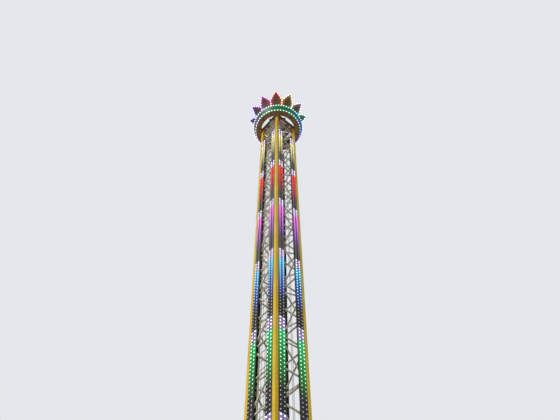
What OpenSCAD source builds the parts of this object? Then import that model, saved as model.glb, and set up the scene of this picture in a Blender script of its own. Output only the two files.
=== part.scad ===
// Drop tower ride: a square lattice tower on a beam base, light boards on its
// faces, a petal crown on its head and a ring gondola parked at the foot.
// Origin on the ground under the middle of the tower, Z up, faces along X and Y.
// Turn k of 90 degrees takes the front face (-Y) to the right, back and left.

/* [Tower] */
// Side of the square tower over the outside of the corner posts
tower_w = 1120; // [1080:10:1200]
// Side of one square corner post
post_w = 110; // [100:2:110]
// Wall of a corner post
post_wall = 8; // [5:1:10]
// Lattice panels stacked up each side
panels = 20; // [12:1:24]
// Height of one lattice panel
panel_h = 1040; // [1020:5:1060]
// Height of the lowest cross bar above the ground
first_bar = 490; // [460:5:500]
// Height of the post tops above the highest cross bar
head_clear = 610; // [560:5:640]
// Side of the square lattice bars
bar_w = 40; // [30:1:45]

/* [Base] */
// Depth and width of the wide-flange base beams
base_h = 200; // [180:5:220]
// Reach of the crossing beams from the middle
base_reach = 1500; // [1420:10:1700]
// Length of an end plate along its beam
pad_len = 320; // [300:5:340]
// Width of an end plate across its beam
pad_w = 360; // [350:5:380]
// Diameter of an anchor hole
anchor_d = 26; // [22:1:30]

/* [Light boards] */
// Width of one board
board_w = 235; // [200:5:240]
// Thickness of a board
board_t = 40; // [30:1:45]
// Height of the foot of the lowest board
board_foot = 2375; // [2300:5:2500]
// Length of one board section
section_h = 3000; // [2400:50:3000]

/* [Ladder] */
// Width over the ladder's stringers
ladder_w = 400; // [340:5:420]
// Distance between rungs
rung_pitch = 280; // [260:5:300]
// Diameter of a rung
rung_d = 22; // [18:1:26]

/* [Head] */
// Height of the channel beams round the head
head_h = 160; // [140:5:180]
// Width of a channel's flange
flange_w = 65; // [60:1:70]
// Pitch diameter of a rope sheave
sheave_d = 360; // [320:5:380]
// Diameter of a hoist rope
rope_d = 12; // [10:1:14]
// Distance of the outer ropes inside the face planes
rope_in = 30; // [26:1:32]

/* [Crown] */
// Width of the crown's flat underside, out from the tower's corners
soffit_w = 249; // [220:1:260]
// Flare of the fascia from its lower to its upper edge
flare = 132; // [110:2:150]
// Height of the fascia
fascia_h = 366; // [330:2:400]
// Number of petals
petals = 12; // [10:2:14]
// Stand-off of the petals' foot from the tower's corners
petal_off = 41; // [30:1:60]
// Height of the middle of a petal's bend above the crown
petal_foot = 170; // [120:5:200]
// Bending radius of a petal
petal_bend = 1114; // [1050:2:1200]
// Radius of the two arcs that meet in a petal's point
petal_arc = 1155; // [1100:5:1200]
// Depth of a petal's folded edge
petal_t = 24; // [16:1:30]
// Thickness of a petal's sheet
sheet_t = 4; // [3:0.5:6]

/* [Gondola] */
// Height of the seat pan's underside above the ground
seat_z = 500; // [460:5:540]
// Width of one seat
seat_w = 430; // [400:5:440]
// Height of a seat from pan to headrest
seat_h = 960; // [900:10:1000]
// Depth of a seat
seat_d = 450; // [420:5:480]
// Side of the square tubes of the gondola frame
frame_w = 90; // [80:2:100]
// Clear gap between the posts and the gondola frame
track_gap = 80; // [70:1:90]
// Distance between the lower and upper frame rings
ring_rise = 760; // [720:5:800]

/* [Hidden] */
$fn = 64;
eps = 1;
// Clearance between a piece and its seat.
fit = 0.3;

// Tower.
half = tower_w / 2;
post_c = half - post_w / 2;
inner = half - post_w;
post_top = first_bar + panels * panel_h + head_clear;
bar_face = half - board_t - fit;
board_x = inner - fit - board_w / 2;
sections = floor((post_top - board_foot - head_clear) / section_h);
corner_r = half * sqrt(2);

// Head.
web_t = flange_w / 8;
deck_t = 10;
rope_y = half - rope_in;
fall_y = rope_y - sheave_d;
sheave_y = rope_y - sheave_d / 2;
deck_z = post_top + head_h;
sheave_z = deck_z + deck_t + sheave_d / 2 + 40;

// Crown.
soffit_t = 10;
soffit_in = corner_r + 3;
soffit_out = corner_r + 3 + soffit_w;
soffit_z = post_top - 196;
fascia_z = soffit_z + soffit_t;
fascia_t = 12;
rim_z = fascia_z + fascia_h;
rim_out = soffit_out + flare;
petal_r = corner_r + petal_off;
petal_turn = 180 / petals;
petal_cx = petal_r + petal_bend;
petal_cz = rim_z + petal_foot;
// The point of a petal, on its bent face.
tip_lean = 62;
tip_x = petal_cx - petal_bend * cos(tip_lean);
tip_z = petal_cz + petal_bend * sin(tip_lean);
cut_lean = 48;
arc_drop = 0.7 * petal_arc;
arc_side = petal_arc * sqrt(1 - 0.7 * 0.7);
hoop_d = 42;
hoop_z = petal_cz + 380;
hoop_r = petal_cx - sqrt((petal_bend + petal_t) * (petal_bend + petal_t) - 380 * 380) - hoop_d / 2 - fit;

// Gondola.
ring_in = half + track_gap;
ring_out = ring_in + frame_w;
ring_1 = seat_z;
ring_2 = seat_z + ring_rise;
seat_pitch = seat_w + 22;
lug_t = 30;
unit_h = 760;
unit_w = 560;

yellow = [0.83, 0.66, 0.06];
cream = [0.72, 0.69, 0.56];
black = [0.1, 0.1, 0.11];
grey = [0.22, 0.23, 0.25];
bronze = [0.42, 0.31, 0.16];
steel = [0.5, 0.51, 0.52];

// A wide-flange beam along X standing on z = 0, its middle on the origin.
module beam(len, h) {
    translate([-len / 2, 0, 0]) rotate([90, 0, 90]) linear_extrude(len) {
        translate([-h / 2, 0]) square([h, h * 0.075]);
        translate([-h / 2, h * 0.925]) square([h, h * 0.075]);
        translate([-h * 0.025, 0]) square([h * 0.05, h]);
    }
}

module base_frame() {
    color(grey) difference() {
        union() {
            for (a = [0, 90]) rotate(a) {
                beam(2 * base_reach, base_h);
                for (s = [-1, 1]) translate([0, s * post_c, 0]) beam(2 * post_c + base_h, base_h);
            }
            for (a = [0:90:270]) rotate(a)
                translate([base_reach - pad_len, -pad_w / 2, 0]) cube([pad_len, pad_w, 22]);
        }
        for (a = [0:90:270], x = [-1, 1], y = [-1, 1]) rotate(a)
            translate([base_reach - pad_len / 2 + x * (pad_len / 2 - 35), y * (pad_w / 2 - 35), -eps])
                cylinder(d = anchor_d, h = 30);
    }
}

// One corner post: a square tube with a foot plate and a cap plate.
module post(sx, sy) {
    h = post_top - base_h;
    color(yellow) translate([sx * post_c, sy * post_c, base_h]) {
        difference() {
            translate([-post_w / 2, -post_w / 2, 0]) cube([post_w, post_w, h]);
            translate([post_wall - post_w / 2, post_wall - post_w / 2, 20])
                cube([post_w - 2 * post_wall, post_w - 2 * post_wall, h - 40]);
        }
        translate([-95, -95, 0]) cube([190, 190, 20]);
    }
}

module post_front_left() { post(-1, -1); }
module post_front_right() { post(1, -1); }
module post_back_left() { post(-1, 1); }
module post_back_right() { post(1, 1); }

// One flat side of the lattice. Seen from outside, the diagonals of the odd
// panels rise to the right and those of the even panels to the left.
module lattice(turn) {
    run = 2 * inner;
    slope = atan2(panel_h, run);
    color(cream) rotate(turn) translate([0, -bar_face, 0]) {
        for (k = [0:panels])
            translate([-inner, 0, first_bar + k * panel_h - bar_w / 2]) cube([run, bar_w, bar_w]);
        for (k = [0:panels - 1])
            intersection() {
                translate([0, 0, first_bar + (k + 0.5) * panel_h])
                    rotate([0, (k % 2 == 1 ? -1 : 1) * slope, 0])
                        translate([-panel_h, 0, -bar_w / 2]) cube([2 * panel_h, bar_w, bar_w]);
                translate([-inner, 0, first_bar + k * panel_h]) cube([run, bar_w, panel_h]);
            }
    }
}

module lattice_front() { lattice(0); }
module lattice_right() { lattice(90); }
module lattice_back() { lattice(180); }
module lattice_left() { lattice(270); }

// One column of board sections, left or right of a face's middle.
module board(turn, side) {
    color(black) rotate(turn) for (k = [0:sections - 1])
        translate([side * board_x - board_w / 2, -half, board_foot + k * section_h + 2])
            difference() {
                cube([board_w, board_t, section_h - 4]);
                translate([8, 3, 8]) cube([board_w - 16, board_t, section_h - 20]);
            }
}

module board_front_left() { board(0, -1); }
module board_front_right() { board(0, 1); }
module board_right_left() { board(90, -1); }
module board_right_right() { board(90, 1); }
module board_back_left() { board(180, -1); }
module board_back_right() { board(180, 1); }
module board_left_left() { board(270, -1); }
module board_left_right() { board(270, 1); }

// The climbing ladder, fixed to the cross bars inside the left face.
module ladder() {
    top = post_top - 260;
    foot = first_bar - 90;
    stile_d = 45;
    color(cream) translate([-(bar_face - bar_w - fit), 0, 0]) {
        for (s = [-1, 1])
            translate([0, s * (ladder_w / 2 - 5) - 5, foot]) cube([stile_d, 10, top - foot]);
        for (z = [foot + 90:rung_pitch:top - 90])
            translate([stile_d / 2, 5 - ladder_w / 2, z])
                rotate([-90, 0, 0]) cylinder(d = rung_d, h = ladder_w - 10);
    }
}

// Small stop blocks on the top cross bars, two above each board.
module stop_blocks() {
    color([0.62, 0.12, 0.07]) for (a = [0:90:270], s = [-1, 1], d = [-1, 1]) rotate(a)
        translate([s * board_x + d * board_w / 4 - 30, -half, first_bar + panels * panel_h - 60])
            cube([60, board_t, 140]);
}

// A channel beam along X with its web inward, in the front face.
module channel() {
    difference() {
        translate([-half, -half, 0]) cube([tower_w, flange_w, head_h]);
        translate([-half - eps, -half - eps, web_t])
            cube([tower_w + 2, flange_w - web_t + eps, head_h - 2 * web_t]);
        translate([0, -rope_y, -eps]) cylinder(d = 3 * rope_d, h = head_h + 2);
    }
}

module head_frame() {
    color(bronze) translate([0, 0, post_top]) {
        difference() {
            for (a = [0:90:270]) rotate(a) channel();
            for (a = [0:90:270]) rotate(a) translate([-half - eps, -half - eps, web_t])
                cube([tower_w + 2, flange_w - web_t + eps, head_h - 2 * web_t]);
        }
        for (sx = [-1, 1], sy = [-1, 1])
            translate([sx * post_c - post_w / 2, sy * post_c - post_w / 2, 0]) cube([post_w, post_w, head_h]);
        for (a = [0, 90], s = [-1, 1]) rotate(a)
            translate([s * 250 - 40, -half + flange_w - web_t, 40])
                cube([80, tower_w - 2 * (flange_w - web_t), head_h - 40]);
    }
}

module head_deck() {
    color(steel) translate([0, 0, deck_z]) difference() {
        translate([-half, -half, 0]) cube([tower_w, tower_w, deck_t]);
        for (a = [0:90:270], y = [rope_y, fall_y]) rotate(a)
            translate([0, -y, -eps]) cylinder(d = 3 * rope_d, h = deck_t + 2);
    }
}

// Four grooved sheaves, each with its axle in two bearing plates.
module sheaves() {
    color(steel) for (a = [0:90:270]) rotate(a) translate([0, -sheave_y, 0]) {
        translate([0, 0, sheave_z]) rotate([0, 90, 0]) {
            rotate_extrude($fn = 96) difference() {
                translate([0, -25]) square([sheave_d / 2 + 14, 50]);
                translate([sheave_d / 2 + rope_d, 0]) square([2 * rope_d + 24 + fit, rope_d + 2 * fit], center = true);
                translate([60, 12]) square([sheave_d / 2 - 95, 20]);
                translate([60, -32]) square([sheave_d / 2 - 95, 20]);
            }
            cylinder(d = 50, h = 120, center = true);
        }
        for (s = [-1, 1]) translate([s * 42 - 6, -80, deck_z + deck_t])
            cube([12, 160, sheave_z - deck_z + 40]);
    }
}

// Each rope runs from the hoist unit up inside, over its sheave and down the
// middle of its face to the gondola.
module hoist_ropes() {
    lug_z = ring_2 + frame_w + fit;
    color([0.3, 0.3, 0.31]) for (a = [0:90:270]) rotate(a) {
        translate([0, -rope_y, lug_z]) cylinder(d = rope_d, h = sheave_z - lug_z);
        translate([0, -fall_y, base_h + unit_h + fit]) cylinder(d = rope_d, h = sheave_z - base_h - unit_h - fit);
        translate([0, -sheave_y, sheave_z]) rotate([90, 0, 90])
            rotate_extrude(angle = 180, $fn = 96) translate([sheave_d / 2, 0]) circle(d = rope_d);
    }
}

// The closed hoist unit inside the foot of the tower, with a recessed door in three sides.
module hoist_unit() {
    door_in = 8;
    door_edge = 50;
    color(steel) translate([0, 0, base_h]) {
        difference() {
            translate([-unit_w / 2, -unit_w / 2, 0]) cube([unit_w, unit_w, unit_h]);
            for (a = [90, 180, 270]) rotate(a)
                translate([door_edge - unit_w / 2, -unit_w / 2 - eps, door_edge])
                    cube([unit_w - 2 * door_edge, door_in + eps, unit_h - 2 * door_edge]);
        }
        translate([0, -unit_w / 2 - 60, 260]) rotate([90, 0, 0]) cylinder(d = 220, h = 60, center = true);
        translate([0, -unit_w / 2, 260]) rotate([90, 0, 0]) cylinder(d = 150, h = 120, center = true);
    }
}

module crown_soffit() {
    color(bronze) translate([0, 0, soffit_z]) difference() {
        cylinder(r = soffit_out, h = soffit_t, $fn = 96);
        translate([0, 0, -eps]) cylinder(r = soffit_in, h = soffit_t + 2, $fn = 96);
    }
}

// Radial gussets inside the crown's ring. Every third one meets a corner post.
module crown_gussets() {
    color(bronze) for (i = [0:petals - 1]) rotate(45 + i * 2 * petal_turn)
        rotate([90, 0, 0]) translate([0, 0, -5]) linear_extrude(10)
            polygon([[corner_r + fit, fascia_z], [soffit_out - fascia_t - fit, fascia_z],
                [rim_out - fascia_t - fit, rim_z - deck_t - fit], [corner_r + fit, rim_z - deck_t - fit]]);
}

module crown_fascia() {
    color([0.16, 0.13, 0.12]) rotate_extrude($fn = 96)
        polygon([[soffit_out - fascia_t, fascia_z], [soffit_out, fascia_z],
            [rim_out, rim_z], [rim_out - fascia_t, rim_z]]);
}

module crown_deck() {
    color(bronze) translate([0, 0, rim_z - deck_t]) difference() {
        cylinder(r = rim_out - fascia_t - 4, h = deck_t, $fn = 96);
        translate([0, 0, -eps]) cylinder(r = soffit_in, h = deck_t + 2, $fn = 96);
    }
}

// The bent sheet of a petal between two distances from its face, drawn in by a
// margin from its arched edges, its sides and its foot.
module petal_body(m, from, to) {
    intersection() {
        translate([0, petal_r, 0]) rotate([90, 0, 0]) linear_extrude(2 * petal_r) intersection() {
            translate([petal_cx, petal_cz]) difference() {
                circle(r = petal_bend + to, $fn = 180);
                circle(r = petal_bend + from, $fn = 180);
            }
            translate([0, rim_z + fit + m]) square([petal_cx, 2 * petal_bend]);
        }
        translate([tip_x, 0, tip_z]) rotate([0, cut_lean, 0]) rotate([90, 0, 90])
            linear_extrude(2 * petal_bend, center = true) intersection() {
                translate([arc_side, -arc_drop]) circle(r = petal_arc - m, $fn = 180);
                translate([-arc_side, -arc_drop]) circle(r = petal_arc - m, $fn = 180);
            }
        translate([(1 + m) / sin(petal_turn), 0, 0]) linear_extrude(2 * tip_z)
            polygon([[0, 0], [3 * tip_x, 3 * tip_x * tan(petal_turn)], [3 * tip_x, -3 * tip_x * tan(petal_turn)]]);
    }
}

// Each petal is a bent tray, open to the back, with a rib up its middle.
module crown_petals() {
    color([0.3, 0.22, 0.14]) for (i = [0:petals - 1]) rotate(45 + i * 2 * petal_turn) difference() {
        petal_body(0, 0, petal_t);
        difference() {
            petal_body(sheet_t, sheet_t, petal_t + 5);
            translate([0, -4, 0]) cube([2 * tip_x, 8, 2 * tip_z]);
        }
    }
}

module petal_hoop() {
    color(steel) translate([0, 0, hoop_z]) rotate_extrude($fn = 96)
        translate([hoop_r, 0]) circle(d = hoop_d);
}

// Two square rings on corner uprights, with a lug for each rope.
module gondola_frame() {
    color(yellow) {
        for (z = [ring_1, ring_2]) translate([0, 0, z]) difference() {
            translate([-ring_out, -ring_out, 0]) cube([2 * ring_out, 2 * ring_out, frame_w]);
            translate([-ring_in, -ring_in, -eps]) cube([2 * ring_in, 2 * ring_in, frame_w + 2]);
        }
        for (sx = [-1, 1], sy = [-1, 1])
            translate([sx * (ring_in + frame_w / 2) - frame_w / 2, sy * (ring_in + frame_w / 2) - frame_w / 2, ring_1])
                cube([frame_w, frame_w, ring_rise]);
        for (a = [0:90:270]) rotate(a)
            translate([-60, -ring_in - eps, ring_2 + frame_w - lug_t]) cube([120, ring_in + eps - bar_face - 2, lug_t]);
    }
}

module gondola_panels() {
    color([0.75, 0.72, 0.62]) for (a = [0:90:270]) rotate(a)
        translate([fit - ring_in, fit + 10 - ring_out, ring_1 + frame_w + fit])
            cube([2 * (ring_in - fit), 6, ring_rise - frame_w - 2 * fit]);
}

// Rollers on the outer faces of the posts, each in a bracket on the frame.
module guide_rollers() {
    d = track_gap - 12;
    color(black) for (a = [0:90:270], s = [-1, 1], z = [ring_1, ring_2]) rotate(a)
        translate([s * post_c, -half - fit - d / 2, z + frame_w / 2]) {
            rotate([0, 90, 0]) cylinder(d = d, h = 56, center = true);
            rotate([0, 90, 0]) cylinder(d = 20, h = 84, center = true);
            for (t = [-1, 1]) translate([t * 36 - 4, -(track_gap - d / 2 - 2 * fit), -30])
                cube([8, track_gap - d / 2 - 2 * fit, 60]);
        }
}

// The side view of a seat's shell: depth outward, height up.
module seat_side() {
    polygon([[0, 20], [60, 0], [seat_d - 60, 22], [seat_d - 34, 30], [seat_d - 34, 98], [150, 70],
        [118, 90], [88, seat_h * 0.72], [0, seat_h * 0.75]]);
    translate([seat_d - 34, 64]) circle(r = 34);
}

// One seat: shell, raised side bolsters and a narrow headrest.
module seat() {
    translate([seat_w / 2, 0, 0]) rotate([90, 0, -90]) linear_extrude(seat_w) seat_side();
    for (s = [-1, 1]) translate([s * (seat_w / 2 - 27) + 27, 0, 0]) rotate([90, 0, -90]) linear_extrude(54)
        polygon([[60, 80], [seat_d - 60, 90], [seat_d - 80, 132], [190, 118], [150, 150],
            [122, seat_h * 0.66], [80, seat_h * 0.7]]);
    translate([120, 0, 0]) rotate([90, 0, -90]) linear_extrude(240)
        polygon([[0, seat_h * 0.7], [90, seat_h * 0.7], [104, seat_h * 0.8], [96, seat_h * 0.96],
            [70, seat_h], [20, seat_h], [0, seat_h * 0.97]]);
}

module seats(turn) {
    color([0.1, 0.22, 0.5]) rotate(turn) for (k = [-1:1])
        translate([k * seat_pitch, -ring_out - fit, seat_z]) seat();
}

module seats_front() { seats(0); }
module seats_right() { seats(90); }
module seats_back() { seats(180); }
module seats_left() { seats(270); }

// One over-shoulder restraint, closed: two arms from the upper ring, pads on
// their fronts and a lap bar between their ends.
module restraint() {
    reach = seat_d * 0.66;
    bend = 80;
    drop = seat_h * 0.4;
    z = ring_rise + frame_w / 2;
    for (s = [-1, 1]) translate([s * 152, 0, z]) {
        translate([-25, -40, -38]) cube([50, 40, 76]);
        rotate([90, 0, 0]) cylinder(d = 40, h = reach - bend);
        translate([0, -(reach - bend), -bend]) rotate([90, 0, -90])
            rotate_extrude(angle = 90) translate([bend, 0]) circle(d = 40);
        translate([0, -reach, -bend - drop]) cylinder(d = 40, h = drop);
        translate([0, -reach, -bend - drop + 70]) cylinder(d = 96, h = drop - 110);
        translate([0, -reach, -bend - drop + 70]) sphere(d = 96);
        translate([0, -reach, -bend - 40]) sphere(d = 96);
    }
    translate([-152, -reach, z - bend - drop]) rotate([0, 90, 0]) cylinder(d = 40, h = 304);
    for (s = [-1, 1]) translate([s * 152, -reach, z - bend - drop]) sphere(d = 40);
}

module restraints(turn) {
    color([0.75, 0.1, 0.08]) rotate(turn) for (k = [-1:1])
        translate([k * seat_pitch, -ring_out - fit, seat_z]) restraint();
}

module restraints_front() { restraints(0); }
module restraints_right() { restraints(90); }
module restraints_back() { restraints(180); }
module restraints_left() { restraints(270); }

base_frame();
post_front_left();
post_front_right();
post_back_left();
post_back_right();
lattice_front();
lattice_right();
lattice_back();
lattice_left();
board_front_left();
board_front_right();
board_right_left();
board_right_right();
board_back_left();
board_back_right();
board_left_left();
board_left_right();
ladder();
stop_blocks();
head_frame();
head_deck();
sheaves();
hoist_ropes();
hoist_unit();
crown_soffit();
crown_gussets();
crown_fascia();
crown_deck();
crown_petals();
petal_hoop();
gondola_frame();
gondola_panels();
guide_rollers();
seats_front();
seats_right();
seats_back();
seats_left();
restraints_front();
restraints_right();
restraints_back();
restraints_left();
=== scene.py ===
# %% [markdown]
# # A drop tower ride in a photo studio
# The object is a square lattice tower, twenty-three metres tall, with lamp
# boards up its faces, a crown of petals on its head and a ring of seats parked
# at its foot. The solid parts come from a CAD model. Here they get their
# finish, and the small things that a viewer looks for: lamps, bolts, rounded
# edges, rope sockets and moulded seats. Everything is in metres, Z up, with
# the origin on the ground under the middle of the tower.

import math

import bmesh
import bpy
from mathutils import Matrix, Vector


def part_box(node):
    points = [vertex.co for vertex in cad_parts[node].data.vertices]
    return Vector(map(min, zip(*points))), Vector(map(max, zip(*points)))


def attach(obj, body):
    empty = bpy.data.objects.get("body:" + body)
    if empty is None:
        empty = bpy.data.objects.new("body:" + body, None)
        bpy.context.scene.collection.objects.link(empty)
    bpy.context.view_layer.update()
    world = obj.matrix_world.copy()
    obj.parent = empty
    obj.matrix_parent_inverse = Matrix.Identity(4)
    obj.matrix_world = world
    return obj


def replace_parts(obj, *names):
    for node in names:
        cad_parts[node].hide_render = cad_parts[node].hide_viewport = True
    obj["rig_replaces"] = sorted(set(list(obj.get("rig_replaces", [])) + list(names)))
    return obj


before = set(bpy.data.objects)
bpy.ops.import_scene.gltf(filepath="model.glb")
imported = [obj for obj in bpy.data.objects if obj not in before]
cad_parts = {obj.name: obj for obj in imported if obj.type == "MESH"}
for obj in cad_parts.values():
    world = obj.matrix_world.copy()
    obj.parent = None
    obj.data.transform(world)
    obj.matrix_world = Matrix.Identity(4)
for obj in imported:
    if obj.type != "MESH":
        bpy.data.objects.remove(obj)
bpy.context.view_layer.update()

# %% [markdown]
# ## The camera
# The camera looks up at the near corner of the tower. Its place, tilt and
# lens were found by fitting the rows of lamps, which are evenly spaced on the
# real tower, so their spacing in a picture says how far away each one is. The
# lens isn't shifted, so that the same camera can be carried round the tower.

# %% Camera
PICTURE_WIDTH, FOCAL_LENGTH, SENSOR = 560, 543.65, 36
EYE = (-6.9505, -8.1454, -2.277)
HEADING, TILT, ROLL = -40.882, 57.683, -0.292
camera = bpy.data.objects.new("camera", bpy.data.cameras.new("camera"))
bpy.context.scene.collection.objects.link(camera)
camera.data.lens = FOCAL_LENGTH / PICTURE_WIDTH * SENSOR
camera.data.sensor_width = SENSOR
camera.matrix_world = (
    Matrix.Translation(EYE)
    @ Matrix.Rotation(math.radians(HEADING), 4, "Z")
    @ Matrix.Rotation(math.radians(90 + TILT), 4, "X")
    @ Matrix.Rotation(math.radians(ROLL), 4, "Z")
)
camera.data.clip_end = 200
bpy.context.scene.camera = camera
print("lens:", round(camera.data.lens, 2), "mm")

# %% [markdown]
# ## Helpers for modelling
# An operator acts on everything that is selected, so each helper deselects
# first. Parts of a mesh are picked in code, by the place or the normal of a
# face, which is what a hand would do with box select.

# %% Selecting and editing
def clear_selection():
    if bpy.context.object and bpy.context.object.mode != "OBJECT":
        bpy.ops.object.mode_set(mode="OBJECT")
    bpy.ops.object.select_all(action="DESELECT")


def only(ob):
    clear_selection()
    ob.select_set(True)
    bpy.context.view_layer.objects.active = ob


def edit_all(ob):
    """Opens edit mode with everything selected."""
    only(ob)
    bpy.ops.object.mode_set(mode="EDIT")
    bpy.ops.mesh.select_all(action="SELECT")


def edit_none(ob, kind):
    """Opens edit mode with nothing selected, ready to pick faces or edges."""
    only(ob)
    bpy.ops.object.mode_set(mode="EDIT")
    bpy.ops.mesh.select_mode(type=kind)
    bpy.ops.mesh.select_all(action="DESELECT")
    return bmesh.from_edit_mesh(ob.data)


def close_edit():
    bpy.ops.object.mode_set(mode="OBJECT")


def pick_faces(ob, test):
    """Opens edit mode and selects the faces whose centre and normal pass the test."""
    mesh = edit_none(ob, "FACE")
    for face in mesh.faces:
        face.select_set(test(face.calc_center_median(), face.normal))
    bmesh.update_edit_mesh(ob.data)


def pick_edges(ob, test):
    """Opens edit mode and selects the edges whose two ends pass the test."""
    mesh = edit_none(ob, "EDGE")
    for edge in mesh.edges:
        edge.select_set(test(edge.verts[0].co, edge.verts[1].co))
    bmesh.update_edit_mesh(ob.data)


def outward(ob):
    edit_all(ob)
    bpy.ops.mesh.normals_make_consistent(inside=False)
    close_edit()
    return ob


print("editing helpers ready")

# %% Modifiers and shading
def modify(ob, kind, **settings):
    only(ob)
    modifier = ob.modifiers.new(kind.title(), kind)
    for key, value in settings.items():
        setattr(modifier, key, value)
    bpy.ops.object.modifier_apply(modifier=modifier.name)
    return ob


def soften(ob, width, segments=2, angle=30):
    """Rounds the edges that turn by more than the angle, in degrees."""
    limit = math.radians(angle)
    return modify(ob, "BEVEL", width=width, segments=segments, limit_method="ANGLE", angle_limit=limit)


def array(ob, count, offset):
    return modify(
        ob, "ARRAY", count=count, use_relative_offset=False,
        use_constant_offset=True, constant_offset_displace=offset,
    )


def smooth(ob, angle=38):
    only(ob)
    bpy.ops.object.shade_smooth_by_angle(angle=math.radians(angle))
    return ob


print("modifier helpers ready")

# %% Starting shapes and copies
def box(size, place, bevel=0.0, segments=2):
    clear_selection()
    bpy.ops.mesh.primitive_cube_add(size=1, location=place, scale=size)
    bpy.ops.object.transform_apply(location=True, rotation=True, scale=True)
    ob = bpy.context.object
    return soften(ob, bevel, segments) if bevel else ob


def rod(radius, start, end, sides=16, bevel=0.0):
    start, end = Vector(start), Vector(end)
    clear_selection()
    bpy.ops.mesh.primitive_cylinder_add(vertices=sides, radius=radius, depth=(end - start).length)
    ob = bpy.context.object
    way = (end - start).to_track_quat("Z", "Y").to_matrix().to_4x4()
    ob.data.transform(Matrix.Translation((start + end) / 2) @ way)
    return soften(ob, bevel, angle=50) if bevel else ob


def turn(degrees):
    return Matrix.Rotation(math.radians(degrees), 4, "Z")


def turns(count, first=0.0):
    """Even turns round the tower's axis, as matrices."""
    return [turn(first + 360 / count * i) for i in range(count)]


def move(x, y, z):
    return Matrix.Translation((x, y, z))


def copy(ob, matrix=Matrix()):
    twin = ob.copy()
    twin.data = ob.data.copy()
    twin.data.transform(matrix)
    bpy.context.scene.collection.objects.link(twin)
    return twin


def mirrored(ob, axis=(1, 0, 0)):
    """A copy mirrored along an axis. Mirroring turns its faces inwards, so they are turned back."""
    return outward(copy(ob, Matrix.Scale(-1, 4, axis)))


def join(parts):
    clear_selection()
    for part in parts:
        part.select_set(True)
    bpy.context.view_layer.objects.active = parts[0]
    bpy.ops.object.join()
    return bpy.context.object


def spread(ob, matrices):
    """One mesh with a copy of the object at each matrix. The object itself is used up."""
    made = [copy(ob, m) for m in matrices]
    bpy.data.objects.remove(ob)
    return join(made)


FACES = {side: turn(90 * i) for i, side in enumerate(("front", "right", "back", "left"))}
pieces = []


def piece(ob, name, material, slot, *nodes):
    """Names a finished piece, gives it its finish and says which CAD nodes it stands for."""
    ob.name = ob.data.name = name
    ob.data.materials.clear()
    ob.data.materials.append(material)
    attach(ob, "root")
    if nodes:
        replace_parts(ob, *nodes)
    pieces.append(ob)
    ob.data.calc_loop_triangles()
    print(name, len(ob.data.loop_triangles), "triangles")
    return ob


def pieces_at(ob, places, name, material, slot, node=""):
    """A piece at each named place. The object itself is used up.

    A place's name ends the piece's name and, where there is one, its CAD node's.
    """
    for label, place in places.items():
        nodes = [node + label] if node else []
        piece(copy(ob, place), name + label, material, slot, *nodes)
    bpy.data.objects.remove(ob)


# %% [markdown]
# ## Helpers for materials
# A material is a tree of nodes. Each helper adds one node and gives its
# outputs. Links go in a dictionary, by the socket's name or number, and other
# settings by keyword, with an underscore for a space.

# %% Node helpers
MIX_FACTOR, MIX_A, MIX_B, MIX_COLOUR = 0, 6, 7, 2  # a Mix node's sockets when it mixes colours


def new_group(name, inputs, outputs):
    """A node group whose named sockets carry one number each."""
    group = bpy.data.node_groups.new(name, "ShaderNodeTree")
    for label, default in inputs.items():
        socket = group.interface.new_socket(label, in_out="INPUT", socket_type="NodeSocketFloat")
        socket.default_value = default
    for label in outputs:
        group.interface.new_socket(label, in_out="OUTPUT", socket_type="NodeSocketFloat")
    return group, group.nodes.new("NodeGroupInput"), group.nodes.new("NodeGroupOutput")


def new_material(name):
    mat = bpy.data.materials.new(name)
    mat.use_nodes = True
    return mat, mat.node_tree, mat.node_tree.nodes["Principled BSDF"]


def set_inputs(target, **values):
    for key, value in values.items():
        target.inputs[key.replace("_", " ")].default_value = value


def link_inputs(tree, target, **sources):
    for key, source in sources.items():
        tree.links.new(source, target.inputs[key.replace("_", " ")])


def use(tree, group, **values):
    """Adds a node group."""
    made = tree.nodes.new("ShaderNodeGroup")
    made.node_tree = group
    set_inputs(made, **values)
    return made.outputs


def node(tree, kind, links=None, **settings):
    """Adds a node. A setting is one of its properties or the value of an input."""
    made = tree.nodes.new("ShaderNode" + kind)
    for key, value in settings.items():
        if hasattr(made, key):
            setattr(made, key, value)
        else:
            set_inputs(made, **{key: value})
    for key, source in (links or {}).items():
        tree.links.new(source, made.inputs[key])
    return made.outputs


def maths(tree, operation, a, b=None, clamp=False):
    made = tree.nodes.new("ShaderNodeMath")
    made.operation, made.use_clamp = operation, clamp
    for socket, value in zip(made.inputs, (a, b)):
        if isinstance(value, (int, float)):
            socket.default_value = value
        elif value is not None:
            tree.links.new(value, socket)
    return made.outputs[0]


def remap(tree, value, low, high, out_low=0.0, out_high=1.0):
    ends = {"From_Min": low, "From_Max": high, "To_Min": out_low, "To_Max": out_high}
    return node(tree, "MapRange", {"Value": value}, **ends)["Result"]


def blend(tree, factor, a, b):
    made = tree.nodes.new("ShaderNodeMix")
    made.data_type = "RGBA"
    made.clamp_factor = True
    for number, value in ((MIX_FACTOR, factor), (MIX_A, a), (MIX_B, b)):
        if isinstance(value, tuple):
            made.inputs[number].default_value = (*value, 1)
        else:
            tree.links.new(value, made.inputs[number])
    return made.outputs[MIX_COLOUR]


def toned(colour, factor, lift=0.0):
    """A darker or paler version of a colour."""
    return tuple(min(1.0, c * factor + lift) for c in colour)


print("node helpers ready")

# %% [markdown]
# ## Studio light
# A soft sky lights every side evenly, and one broad sun from the left gives
# the faces different brightness, so that the corner between them reads. A
# weak second sun does the same for the two faces behind. Rays that reach the
# camera, or a mirror-like surface, see a paler sky: that is the background,
# and it costs no extra light on the object.

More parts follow.
